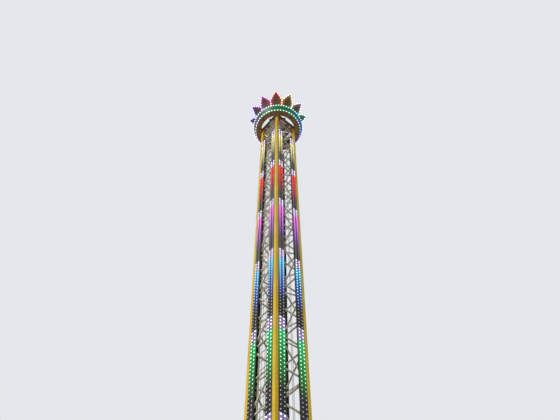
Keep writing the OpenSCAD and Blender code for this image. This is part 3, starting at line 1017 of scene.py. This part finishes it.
# %% Cover strips
SOFFIT_R, SOFFIT_Z = 0.919, 21.704
mid_r, mid_z = (CROWN_R1 + CROWN_R2) / 2, (CROWN_Z1 + CROWN_Z2) / 2
strip = box((0.003, 0.034, 0.27), (0, 0, 0), 0.001, 1)
strip.data.transform(move(mid_r + 0.0004, 0, mid_z) @ Matrix.Rotation(slant, 4, "Y"))
under = box((0.2, 0.034, 0.003), (SOFFIT_R, 0, SOFFIT_Z - 0.0006), 0.001, 1)
piece(spread(join([strip, under]), turns(12)), "crown_cover_strips", fascia_plain, "fascia_dark")

# %% [markdown]
# ## Petals
# A petal is a sheet bent one way only, along an arc that swings outwards. Its
# outline is two arcs that meet in a point. The grid's rows follow the bend
# and its columns are spaced over the width at each row. The border is turned
# back as a rim, which makes a tray as on the CAD model.

# %% Outline of a petal
BEND_R, BEND_X, BEND_Z = 1.114, 1.94696, 22.25
ARC, ARC_OFFSET = 1.155, 0.7  # the outline arcs' radius, and their centres' distance as a share of it
ARC_SIDE = ARC * math.sqrt(1 - ARC_OFFSET ** 2)
LEAN, HALF_SECTOR = math.radians(48), math.radians(15)
FIRST_PETAL, PETALS = 45, 12


def petal_point(theta):
    """Distance out and height of the bent sheet, at an angle along its bend."""
    return BEND_X - BEND_R * math.cos(theta), BEND_Z + BEND_R * math.sin(theta)


TIP_X, TIP_Z = petal_point(math.radians(62))


def petal_half_width(theta):
    """Half the petal's width there, which stops short of the next petal."""
    x, z = petal_point(theta)
    down = (x - TIP_X) * math.sin(LEAN) + (z - TIP_Z) * math.cos(LEAN)
    arched = math.sqrt(max(0.0, ARC * ARC - (down + ARC_OFFSET * ARC) ** 2)) - ARC_SIDE
    return max(0.003, min(arched, (x - 0.004) * math.tan(HALF_SECTOR) - 0.0006))


print("tip of a petal:", round(TIP_X, 3), round(TIP_Z, 3))

# %% Petals
theta_foot = -math.asin((BEND_Z - CROWN_Z2 - 0.0006) / BEND_R)
theta_tip = math.radians(61.6)
clear_selection()
bpy.ops.mesh.primitive_grid_add(x_subdivisions=12, y_subdivisions=30, size=2)
petal = bpy.context.object
for vertex in petal.data.vertices:
    theta = theta_foot + (theta_tip - theta_foot) * (vertex.co.y + 1) / 2
    x, z = petal_point(theta)
    vertex.co = (x, vertex.co.x * petal_half_width(theta), z)
edit_all(petal)
bpy.ops.mesh.region_to_loop()
bpy.ops.mesh.extrude_edges_move(TRANSFORM_OT_translate={"value": (-0.0145, 0, 0.0145)})
close_edit()
soften(outward(petal), 0.004, 2, angle=50)
modify(petal, "SOLIDIFY", thickness=0.0035, offset=0)
print("petal faces:", len(petal.data.polygons))

# %% Petal copies and their painted lamp light
petal_set = spread(petal, turns(PETALS, FIRST_PETAL))


# Painted light: the glow that the edge lamps throw on a petal's front, fading in from its edges.
def petal_tint(point):
    angle = (math.degrees(math.atan2(point.y, point.x)) - 30) % 30 - 15
    radius = point.to_2d().length
    across, out = abs(radius * math.sin(math.radians(angle))), radius * math.cos(math.radians(angle))
    theta = math.atan2(point.z - BEND_Z, BEND_X - out)
    edge = max(0.0, petal_half_width(theta) - across)
    front = math.hypot(BEND_X - out, point.z - BEND_Z) < BEND_R
    glow = math.exp(-edge / 0.045) if front else 0.0
    return soaked(round_colour(PETAL_COLOURS, point.x, point.y)), glow


paint_glow(petal_set, petal_tint)
piece(smooth(petal_set), "petal_sheets", petal_sheet, "petal_bronze", "crown_petals")

# %% [markdown]
# ## Petal lamps
# Lamps follow both edges of every petal, from the point down into the valley
# that it shares with its neighbour, and on down the seam. Each stands square
# to the bent sheet.

# %% Petal lamps
# Across, out and height of the lamps on half a petal's edge, and radius and
# height of those on the seam.
EDGE_LAMPS = [(0.0, 1.405, 23.22), (0.091, 1.323, 23.173), (0.160, 1.237, 23.115), (0.219, 1.154, 23.03)]
SEAM_LAMPS = [
    (1.071, 22.935), (0.995, 22.83), (0.945, 22.715), (0.908, 22.59), (0.882, 22.46), (0.866, 22.33)
]
SEAM_STRETCH = 1 / math.cos(HALF_SECTOR)  # a seam is this much farther out than a petal's middle


def petal_lamp(angle, out, z, across=0.0, outwards=1.0):
    """A lamp square to the bent sheet, at the point of the bend nearest to a place."""
    theta = math.atan2(z - BEND_Z, BEND_X - out)
    x, z = petal_point(theta)
    return lamp_matrix(x * outwards, angle, z, theta, across)


petal_places = []
for i in range(PETALS):
    angle = FIRST_PETAL + 360 / PETALS * i
    for across, out, z in EDGE_LAMPS:
        for sign in (-1, 1) if across else (1,):
            petal_places.append(petal_lamp(angle, out, z, sign * across))
    for radius, z in SEAM_LAMPS:
        petal_places.append(petal_lamp(angle + 15, radius / SEAM_STRETCH, z, outwards=SEAM_STRETCH))
petal_caps = spread(cap_one, petal_places)
paint_glow(petal_caps, ring_tint(PETAL_COLOURS, petal_places, 0.8))
piece(petal_caps, "petal_caps", lamp_cap, "petal_bronze")
piece(spread(collar_one, petal_places), "petal_collars", collar_black, "petal_bronze")

# %% [markdown]
# ## Stop blocks
# Short red blocks above each board stop the carriage at the top. Each is a
# polyurethane block with soft edges and two bolt heads let into its face.

# %% Stop blocks
block = box((0.06, 0.039, 0.14), (0, -HALF + 0.02, TOP_BAR + 0.01), 0.006, 3)
pick_faces(block, lambda c, n: n.y < -0.9)
bpy.ops.mesh.inset(thickness=0.008)
bpy.ops.transform.translate(value=(0, 0.003, 0))
close_edit()
block_places = [
    quarter @ move(side * BOARD_X + half * BOARD_W / 4, 0, 0)
    for quarter in turns(4) for side in (-1, 1) for half in (-1, 1)
]
piece(smooth(spread(block, block_places)), "buffer_blocks", stop_red, "stop_red", "stop_blocks")
head = rod(0.009, (0, -HALF + 0.006, 0), (0, -HALF - 0.001, 0), 6, 0.0015)
heads = spread(head, [move(0, 0, TOP_BAR + rise) for rise in (-0.03, 0.05)])
piece(smooth(spread(heads, block_places)), "buffer_bolts", bolt_zinc, "galvanised")

# %% [markdown]
# ## Ladder clips and head fittings
# Clips tie the ladder to every second level bar. On the head, each sheave
# turns in flanged bearings, and bolts hold the deck to the channels.

# %% Ladder clips
strap = box((0.05, 0.05, 0.006), (-0.455, 0.19, FIRST_BAR + 0.0235), 0.0015)
lug = box((0.05, 0.006, 0.07), (-0.455, 0.209, FIRST_BAR), 0.0015)
clip = join([strap, lug])
clips = array(join([clip, mirrored(clip, (0, 1, 0))]), PANELS // 2 + 1, PAIR)
piece(smooth(clips), "ladder_clips", galvanised, "galvanised")

# %% Sheave bearings and head bolts
SHEAVE_Y, SHEAVE_Z, DECK_Z = 0.35, 22.29, 22.07
housing = rod(0.058, (0.048, 0, 0), (0.074, 0, 0), 24, 0.006)
flange = box((0.01, 0.13, 0.13), (0.053, 0, 0), 0.004, 2)
nipple = rod(0.022, (0.07, 0, 0), (0.082, 0, 0), 16, 0.003)
bearing = join([housing, flange, nipple])
bearing_bolt = rod(0.009, (0.057, 0.048, 0.048), (0.066, 0.048, 0.048), 6, 0.0015)
bolts = spread(bearing_bolt, [Matrix.Rotation(math.radians(a), 4, "X") for a in (0, 90, 180, 270)])
sheave_places = [
    quarter @ move(0, -SHEAVE_Y, SHEAVE_Z) @ turn(flip) for quarter in turns(4) for flip in (0, 180)
]
piece(smooth(spread(bearing, sheave_places)), "sheave_bearings", machine_grey, "machine_steel")
bearing_bolts = spread(bolts, sheave_places)
deck_bolt = rod(0.014, (0, 0, DECK_Z + 0.01), (0, 0, DECK_Z + 0.022), 6, 0.002)
deck_places = [
    quarter @ move(x, -0.528, 0) for quarter in turns(4) for x in (-0.42, -0.28, -0.14, 0.14, 0.28, 0.42)
]
head_bolts = join([bearing_bolts, spread(deck_bolt, deck_places)])
piece(smooth(head_bolts), "head_bolts", bolt_zinc, "galvanised")

# %% [markdown]
# ## Anchors and stiffeners of the base
# Sixteen anchor bolts hold the crossing beams down. Each has a washer, a nut
# and the end of its thread. Stiffener plates fill the beams' sides over the
# end plates.

# %% Base fittings
ANCHOR_OUT, ANCHOR_DX, ANCHOR_DY = 1.34, 0.125, 0.145
washer = rod(0.026, (0, 0, 0.022), (0, 0, 0.026), 20, 0.001)
nut = rod(0.0205, (0, 0, 0.026), (0, 0, 0.046), 6, 0.003)
stud = rod(0.012, (0, 0, 0.04), (0, 0, 0.064), 14, 0.002)
anchor = join([washer, nut, stud])
anchor_places = [
    quarter @ move(ANCHOR_OUT + x * ANCHOR_DX, y * ANCHOR_DY, 0)
    for quarter in turns(4) for x in (-1, 1) for y in (-1, 1)
]
piece(smooth(spread(anchor, anchor_places)), "anchor_nuts", bolt_zinc, "galvanised")
rib = box((0.012, 0.095, 0.17), (0, 0.0525, 0.1), 0.003)
rib_places = [
    quarter @ move(x, 0, 0) @ turn(flip)
    for quarter in turns(4) for x in (0.86, 1.16, 1.36) for flip in (0, 180)
]
piece(smooth(spread(rib, rib_places)), "beam_stiffeners", base_grey, "base_paint")

# %% [markdown]
# ## Gondola frame
# Two square rings of tube run round the tower, joined by corner uprights. A
# ring starts as a flat box: its top and bottom are inset, and the two inner
# faces are bridged, which cuts the middle out. Lugs carry the ropes' sockets.

# %% Gondola rings
RING_OUT, TUBE, RING_1, RING_RISE = 0.73, 0.09, 0.5, 0.76
RING_TOP = RING_1 + RING_RISE + TUBE
ring = box((2 * RING_OUT, 2 * RING_OUT, TUBE), (0, 0, RING_1 + TUBE / 2))
pick_faces(ring, lambda c, n: abs(n.z) > 0.9)
bpy.ops.mesh.inset(thickness=TUBE)
bpy.ops.mesh.bridge_edge_loops()
close_edit()
soften(ring, 0.01, 3)
upper = copy(ring, move(0, 0, RING_RISE))
corner_c = RING_OUT - TUBE / 2
upright_size = (TUBE - 0.004, TUBE - 0.004, RING_RISE - TUBE)
upright = box(upright_size, (corner_c, corner_c, RING_1 + (RING_RISE + TUBE) / 2), 0.009, 3)
uprights = spread(upright, turns(4))
lug_plate = box((0.12, 0.119, 0.03), (0, -0.5815, RING_TOP - 0.015), 0.006, 2)
lugs = spread(lug_plate, turns(4))
gondola = join([ring, upper, uprights, lugs])
piece(smooth(gondola), "gondola_rings", post_yellow, "post_yellow", "gondola_frame")

# %% Rope sockets
sock = rod(0.016, (0, 0, 0.0), (0, 0, 0.06), 20)
pick_faces(sock, lambda c, n: n.z > 0.9)
bpy.ops.mesh.extrude_region_move(TRANSFORM_OT_translate={"value": (0, 0, 0.035)})
bpy.ops.transform.resize(value=(0.5, 0.5, 1), center_override=(0, 0, 0))
close_edit()
soften(sock, 0.002, 2, angle=30)
sock_nut = rod(0.026, (0, 0, 0.0), (0, 0, 0.018), 6, 0.002)
sockets = spread(join([sock, sock_nut]), [quarter @ move(0, -0.53, RING_TOP) for quarter in turns(4)])
piece(smooth(sockets), "rope_sockets", machined, "rope_steel")

# %% [markdown]
# ## Panels behind the seats
# Thin sheets close the gondola between its rings. Nine shallow pressed fields
# stiffen each of them.

# %% Gondola panels
SHEET_GAP, SHEET_Y = 0.0003, -0.7167
sheet_size = (2 * (RING_OUT - TUBE - SHEET_GAP), 0.006, RING_RISE - TUBE - 2 * SHEET_GAP)
sheet = box(sheet_size, (0, SHEET_Y, RING_1 + (RING_RISE + TUBE) / 2))
pick_faces(sheet, lambda c, n: n.y < -0.9)
bpy.ops.mesh.subdivide(number_cuts=2)
close_edit()
pick_faces(sheet, lambda c, n: n.y < -0.9)
bpy.ops.mesh.inset(thickness=0.03, use_individual=True)
bpy.ops.mesh.inset(thickness=0.012, depth=-0.003, use_individual=True)
close_edit()
soften(sheet, 0.001, 1)
piece(spread(sheet, turns(4)), "gondola_sheets", panel_cream, "panel_cream", "gondola_panels")

# %% [markdown]
# ## Guide rollers
# Small wheels run on the posts and keep the gondola centred. A wheel is a
# drum with a soft tyre edge and a hub let into each side, in a bracket of two
# cheeks with an axle bolt.

# %% Guide rollers
wheel = rod(0.034, (-0.026, 0, 0), (0.026, 0, 0), 28)
soften(wheel, 0.005, 3, angle=50)
pick_faces(wheel, lambda c, n: abs(n.x) > 0.9 and math.hypot(c.y, c.z) < 0.004)
bpy.ops.mesh.inset(thickness=0.008)
bpy.ops.mesh.inset(thickness=0.002, depth=-0.006)
close_edit()
wheel_places = [
    quarter @ move(side * POST_C, -0.5943, RING_1 + rise + TUBE / 2)
    for quarter in turns(4) for side in (-1, 1) for rise in (0, RING_RISE)
]
piece(smooth(spread(wheel, wheel_places)), "guide_wheels", wheel_black, "roller_black", "guide_rollers")
cheek = box((0.008, 0.058, 0.06), (0.036, -0.0168, 0), 0.003, 2)
other = copy(cheek, move(-0.072, 0, 0))
axle = rod(0.009, (-0.047, 0, 0), (0.047, 0, 0), 14)
axle_head = rod(0.014, (0.04, 0, 0), (0.05, 0, 0), 6, 0.0015)
axle_nut = rod(0.014, (-0.05, 0, 0), (-0.04, 0, 0), 6, 0.0015)
bracket = join([cheek, other, axle, axle_head, axle_nut])
piece(smooth(spread(bracket, wheel_places)), "guide_brackets", machined, "roller_black")

# %% [markdown]
# ## Seats
# A ride seat is one moulding: a pan, a back with raised sides, and a narrow
# headrest. It is lofted: the same side outline is repeated across the width,
# and each station bends it a little, so the sides come forward and the top
# drops towards the shoulders. Subdivision then rounds the whole.

# %% Side outline of a seat
SEAT_W, SEAT_H, PITCH = 0.43, 0.96, 0.452
STATIONS = [-1.0, -0.93, -0.78, -0.6, -0.42, -0.2, 0.0, 0.2, 0.42, 0.6, 0.78, 0.93, 1.0]


def seat_outline(w):
    """The side outline at a station across the seat, as depth and height, from the front lip round."""
    side = max(0.0, (abs(w) - 0.45) / 0.55)
    bolster = 0.062 * math.sin(min(1.0, side * 1.15) * math.pi * 0.62) if side else 0.0
    top = SEAT_H - 0.012 - 0.03 * min(1.0, abs(w) / 0.5) ** 2
    if abs(w) > 0.5:
        top -= 0.245 * min(1.0, (abs(w) - 0.5) / 0.22) ** 0.8
    if abs(w) > 0.72:
        top -= 0.04 * (abs(w) - 0.72) / 0.28
    pan = 0.055 + bolster * 0.9
    back = 0.082 + bolster
    cut = 0.02 * max(0.0, abs(w) - 0.9) / 0.1
    lip = [
        (0.05, 0.006 + cut), (0.2, 0.006 + cut), (0.36, 0.022 + cut), (0.43 - cut, 0.035),
        (0.446 - cut, 0.06), (0.438 - cut, 0.09),
    ]
    inner = [
        (0.405, 0.1 + bolster * 0.35), (0.33, pan + 0.026), (0.22, pan),
        (0.145 + bolster * 0.4, pan + 0.012), (0.112 + bolster * 0.7, pan + 0.06),
        (back + 0.012, 0.26), (back, 0.42), (back - 0.002, 0.56), (back - 0.008, min(0.68, top - 0.05)),
    ]
    headrest = [
        (0.085 + bolster * 0.3, min(0.78, top - 0.03)), (0.092, min(0.87, top - 0.018)),
        (0.072, top - 0.004), (0.045, top), (0.014, top - 0.012),
    ]
    rear = [(0.006, min(0.8, top - 0.05)), (0.006, 0.5), (0.006 + cut, 0.2), (0.012 + cut, 0.04)]
    return lip + inner + headrest + rear


INNER_LINE = slice(6, 15)  # the part of the outline that a rider leans on
print("points in a seat's outline:", len(seat_outline(0)))

# %% Seat moulding
def loft(stations, outline, width):
    """A closed skin through one outline for each station, capped at both ends."""
    points, faces = [], []
    for w in stations:
        points += [(w * width / 2, -depth, height) for depth, height in outline(w)]
    count = len(outline(0))
    for s in range(len(stations) - 1):
        for p in range(count):
            q = (p + 1) % count
            faces.append((s * count + p, s * count + q, (s + 1) * count + q, (s + 1) * count + p))
    faces.append(tuple(range(count)))
    faces.append(tuple(range((len(stations) - 1) * count, len(stations) * count))[::-1])
    mesh = bpy.data.meshes.new("loft")
    mesh.from_pydata(points, [], faces)
    ob = bpy.data.objects.new("loft", mesh)
    bpy.context.scene.collection.objects.link(ob)
    return outward(ob)


seat = loft(STATIONS, seat_outline, SEAT_W)
modify(seat, "SUBSURF", levels=1, render_levels=1)
seat_row = [move(k * PITCH, -RING_OUT - 0.0003, RING_1) for k in (-1, 0, 1)]
every_seat = [face @ place for face in FACES.values() for place in seat_row]
shells = smooth(spread(seat, seat_row), 60)
pieces_at(shells, FACES, "seat_shells_", seat_blue, "seat_blue", "seats_")

# %% [markdown]
# ## Seat pads
# A foam pad lies in the pan and another on the back. A flat cushion would
# stand off the curved moulding, so each pad is lofted from the seat's own
# inner line: its back sinks a little into the shell, and its front stands off
# by a thickness that swells in the middle, falls to the edges and dips at
# each sewn channel.

# %% Seat pads
PAD_HALF, PAD_THICK, SUNK = 0.56, 0.026, 0.006


def along(line, distance):
    """The point and the outward normal at a distance along a line of depths and heights."""
    for (d1, h1), (d2, h2) in zip(line, line[1:]):
        step = math.hypot(d2 - d1, h2 - h1)
        if distance <= step or (d2, h2) == line[-1]:
            t = distance / step
            return (d1 + (d2 - d1) * t, h1 + (h2 - h1) * t), ((h2 - h1) / step, -(d2 - d1) / step)
        distance -= step


def pad_outline(start, end, channels):
    """An outline function for a pad between two distances along the seat's inner line."""
    marks = {start + (end - start) * i / 14 for i in range(15)}
    marks |= {channel + side for channel in channels for side in (-0.012, 0.0, 0.012)}

    def outline(w):
        line = seat_outline(w * PAD_HALF)[INNER_LINE]
        front, back = [], []
        for mark in sorted(marks):
            t = (mark - start) / (end - start)
            swell = max(0.0, 1 - (2 * t - 1) ** 6) ** 0.5 * max(0.0, 1 - abs(w) ** 5) ** 0.5
            for channel in channels:
                swell *= 1 - 0.62 * math.exp(-(((mark - channel) / 0.007) ** 2))
            (d, h), (nd, nh) = along(line, mark)
            thick = PAD_THICK * swell
            front.append((d + nd * thick, h + nh * thick))
            back.append((d - nd * SUNK, h - nh * SUNK))
        return front + back[::-1]

    return outline


inner_line = seat_outline(0)[INNER_LINE]
line_length = sum(math.dist(a, b) for a, b in zip(inner_line, inner_line[1:]))
PAD_STATIONS = [-1.0, -0.95, -0.82, -0.6, -0.3, 0.0, 0.3, 0.6, 0.82, 0.95, 1.0]
pan_pad = loft(PAD_STATIONS, pad_outline(0.02, 0.235, [0.09]), SEAT_W * PAD_HALF)
back_channels = [0.42, 0.55, 0.68]
back_pad = loft(PAD_STATIONS, pad_outline(0.31, line_length - 0.02, back_channels), SEAT_W * PAD_HALF)
pads = modify(join([pan_pad, back_pad]), "SUBSURF", levels=1, render_levels=1)
seat_pads = smooth(spread(pads, every_seat), 60)
piece(seat_pads, "seat_pads", pad_black, "roller_black")
print("inner line of a seat:", round(line_length, 3), "m")

# %% [markdown]
# ## Over-shoulder restraints
# Two steel arms swing on the upper ring, come forward over the shoulders and
# run down the chest to a lap bar. Foam pads with a red skin cover them. A
# poly curve with rounded corners gives the arm its path, and the curve's
# bevel gives it its thickness.

# %% Tubes along a path
CORNER_STEPS = 8


def rounded_path(points, fillet):
    """The points with each corner replaced by a curve that starts a fillet before it."""
    path = [Vector(points[0])]
    for a, b, c in zip(points, points[1:], points[2:]):
        a, b, c = Vector(a), Vector(b), Vector(c)
        start = b + (a - b).normalized() * fillet
        end = b + (c - b).normalized() * fillet
        for i in range(CORNER_STEPS + 1):
            t = i / CORNER_STEPS
            path.append(start * (1 - t) ** 2 + b * 2 * t * (1 - t) + end * t ** 2)
    return path + [Vector(points[-1])]


def tube(points, radius, fillet=0.0):
    """A tube along the points, with its corners rounded to the fillet."""
    path = rounded_path(points, fillet)
    curve = bpy.data.curves.new("tube", "CURVE")
    curve.dimensions = "3D"
    curve.bevel_depth = radius
    curve.bevel_resolution = 3
    curve.use_fill_caps = True
    spline = curve.splines.new("POLY")
    spline.points.add(len(path) - 1)
    for point, place in zip(spline.points, path):
        point.co = (*place, 1)
    ob = bpy.data.objects.new("tube", curve)
    bpy.context.scene.collection.objects.link(ob)
    only(ob)
    bpy.ops.object.convert(target="MESH")
    edit_all(ob)
    bpy.ops.mesh.remove_doubles(threshold=0.0002)
    bpy.ops.mesh.normals_make_consistent(inside=False)
    close_edit()
    return ob


print("tube helper ready")

# %% Restraint arms
REACH, DROP, ARM_X, ARM_R, ARM_Z = 0.297, 0.384, 0.152, 0.02, RING_RISE + TUBE / 2
LAP_Z = ARM_Z - 0.08 - DROP
arm = tube([(ARM_X, -0.01, ARM_Z), (ARM_X, -REACH, ARM_Z), (ARM_X, -REACH, LAP_Z)], ARM_R, 0.085)
lap = tube([(-ARM_X, -REACH, LAP_Z), (ARM_X, -REACH, LAP_Z)], ARM_R)
pivot = box((0.05, 0.04, 0.076), (ARM_X, -0.02, ARM_Z), 0.008, 3)
steel = join([arm, mirrored(arm), lap, pivot, mirrored(pivot)])
arms = smooth(spread(steel, seat_row), 50)
pieces_at(arms, FACES, "restraint_arms_", machined, "galvanised", "restraints_")

# %% Restraint pads and grips
CHEST_Y, CHEST_Z = -REACH - 0.002, ARM_Z - 0.27
GRIP_Y, GRIP_Z = -REACH - 0.105, ARM_Z - 0.38
CUFF_H = 0.016


def power(value, exponent):
    """A power that keeps the sign."""
    return math.copysign(abs(value) ** exponent, value)


def chest_pad():
    """A foam sleeve round an arm, fuller at the chest."""
    clear_selection()
    bpy.ops.mesh.primitive_uv_sphere_add(segments=20, ring_count=14, radius=1)
    pad = bpy.context.object
    for vertex in pad.data.vertices:
        x, y, z = vertex.co
        vertex.co = (power(x, 0.8) * 0.047, power(y, 0.8) * 0.05, power(z, 0.45) * 0.175)
    return pad


right_pad = chest_pad()
right_pad.data.transform(move(ARM_X, CHEST_Y, CHEST_Z))
lap_pad = chest_pad()
across = Matrix.Rotation(math.radians(90), 4, "Y")
lap_pad.data.transform(move(0, -REACH, LAP_Z) @ across @ Matrix.Diagonal((0.62, 0.62, 0.72, 1)))
foam = smooth(spread(join([right_pad, mirrored(right_pad), lap_pad]), every_seat), 60)
piece(foam, "restraint_foam", foam_red, "restraint_red")
grip_path = [(ARM_X, -REACH - 0.03, GRIP_Z), (ARM_X, GRIP_Y, GRIP_Z), (ARM_X, GRIP_Y, GRIP_Z + 0.13)]
cuffs = [
    rod(0.031, (ARM_X, CHEST_Y, CHEST_Z + rise), (ARM_X, CHEST_Y, CHEST_Z + rise + CUFF_H), 20, 0.004)
    for rise in (-0.182, 0.166)
]
grip = join([tube(grip_path, 0.013, 0.03)] + cuffs)
grips = smooth(spread(join([grip, mirrored(grip)]), every_seat), 60)
piece(grips, "restraint_grips", wheel_black, "roller_black")

# %% [markdown]
# ## Hoist unit
# The drive stands inside the foot of the tower in a closed housing. A box
# with soft edges gets a recessed door on three sides, with louvres and a
# handle. The geared motor's round end stands out of the fourth.

# %% Hoist unit
BASE_H, UNIT_W, UNIT_H, MOTOR_Z = 0.2, 0.56, 0.76, 0.46
case = box((UNIT_W - 0.002, UNIT_W - 0.002, UNIT_H - 0.001), (0, 0, BASE_H + UNIT_H / 2))
pick_faces(case, lambda c, n: abs(n.z) < 0.1 and n.y > -0.9)
bpy.ops.mesh.inset(thickness=0.05, use_individual=True)
bpy.ops.mesh.inset(thickness=0.004, depth=-0.0075, use_individual=True)
close_edit()
soften(case, 0.006, 3)
motor = rod(0.108, (0, -0.3, MOTOR_Z), (0, -0.368, MOTOR_Z), 40, 0.01)
pick_faces(motor, lambda c, n: n.y < -0.9)
bpy.ops.mesh.inset(thickness=0.03)
bpy.ops.mesh.inset(thickness=0.006, depth=-0.01)
close_edit()
bell = rod(0.074, (0, -0.28, MOTOR_Z), (0, -0.33, MOTOR_Z), 32, 0.008)
DOORS = [turn(a) for a in (0, 90, 270)]
louvre = box((0.3, 0.012, 0.012), (0, 0.274, 0.7), 0.004, 2)
louvres = spread(array(louvre, 6, (0, 0, -0.035)), DOORS)
handle = box((0.02, 0.02, 0.12), (0.2, 0.276, 0.5), 0.006, 2)
housing = smooth(join([case, motor, bell, louvres, spread(handle, DOORS)]))
piece(housing, "hoist_housing", machine_grey, "machine_steel", "hoist_unit")

# %% [markdown]
# ## Hoop clamps and soffit screws
# A tube hoop steadies the petals from behind, clamped to each one's rib. The
# soffit's sheet is screwed along both its rims.

# %% Crown fittings
HOOP_TUBE_R, HOOP_Z, SCREW_RIMS = 0.021, 22.63, (0.825, 1.012)
HOOP_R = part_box("petal_hoop")[1].x - HOOP_TUBE_R
clamp = box((0.05, 0.03, 0.056), (HOOP_R, 0, HOOP_Z), 0.008, 2)
clamps = smooth(spread(clamp, turns(PETALS, FIRST_PETAL)))
piece(clamps, "hoop_clamps", galvanised, "galvanised")
screw = rod(0.007, (0, 0, SOFFIT_Z), (0, 0, SOFFIT_Z - 0.0035), 12, 0.0012)
screw_places = [around @ move(radius, 0, 0) for around in turns(24, 7.5) for radius in SCREW_RIMS]
piece(smooth(spread(screw, screw_places)), "soffit_screws", bolt_zinc, "galvanised")

# %% [markdown]
# ## Finishes for the CAD parts that stay
# Beams, deck, sheaves, ropes, ladder, soffit, gussets and hoop already have
# the right shape. They only need a finish, which goes into their material
# slots.

# %% CAD finishes
CAD_FINISH = {
    "base_frame": base_grey,
    "ladder": lattice_cream,
    "head_frame": head_bronze,
    "head_deck": galvanised,
    "sheaves": machine_grey,
    "hoist_ropes": rope_wire,
    "crown_soffit": head_bronze,
    "crown_gussets": head_bronze,
    "crown_deck": head_bronze,
    "petal_hoop": galvanised,
}
for name, finish in CAD_FINISH.items():
    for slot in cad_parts[name].material_slots:
        slot.material = finish
replaced = " ".join(str(ob.get("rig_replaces", "")) for ob in pieces)
left = [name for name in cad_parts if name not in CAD_FINISH and name not in replaced]
print("nodes without a finish or a piece:", left)
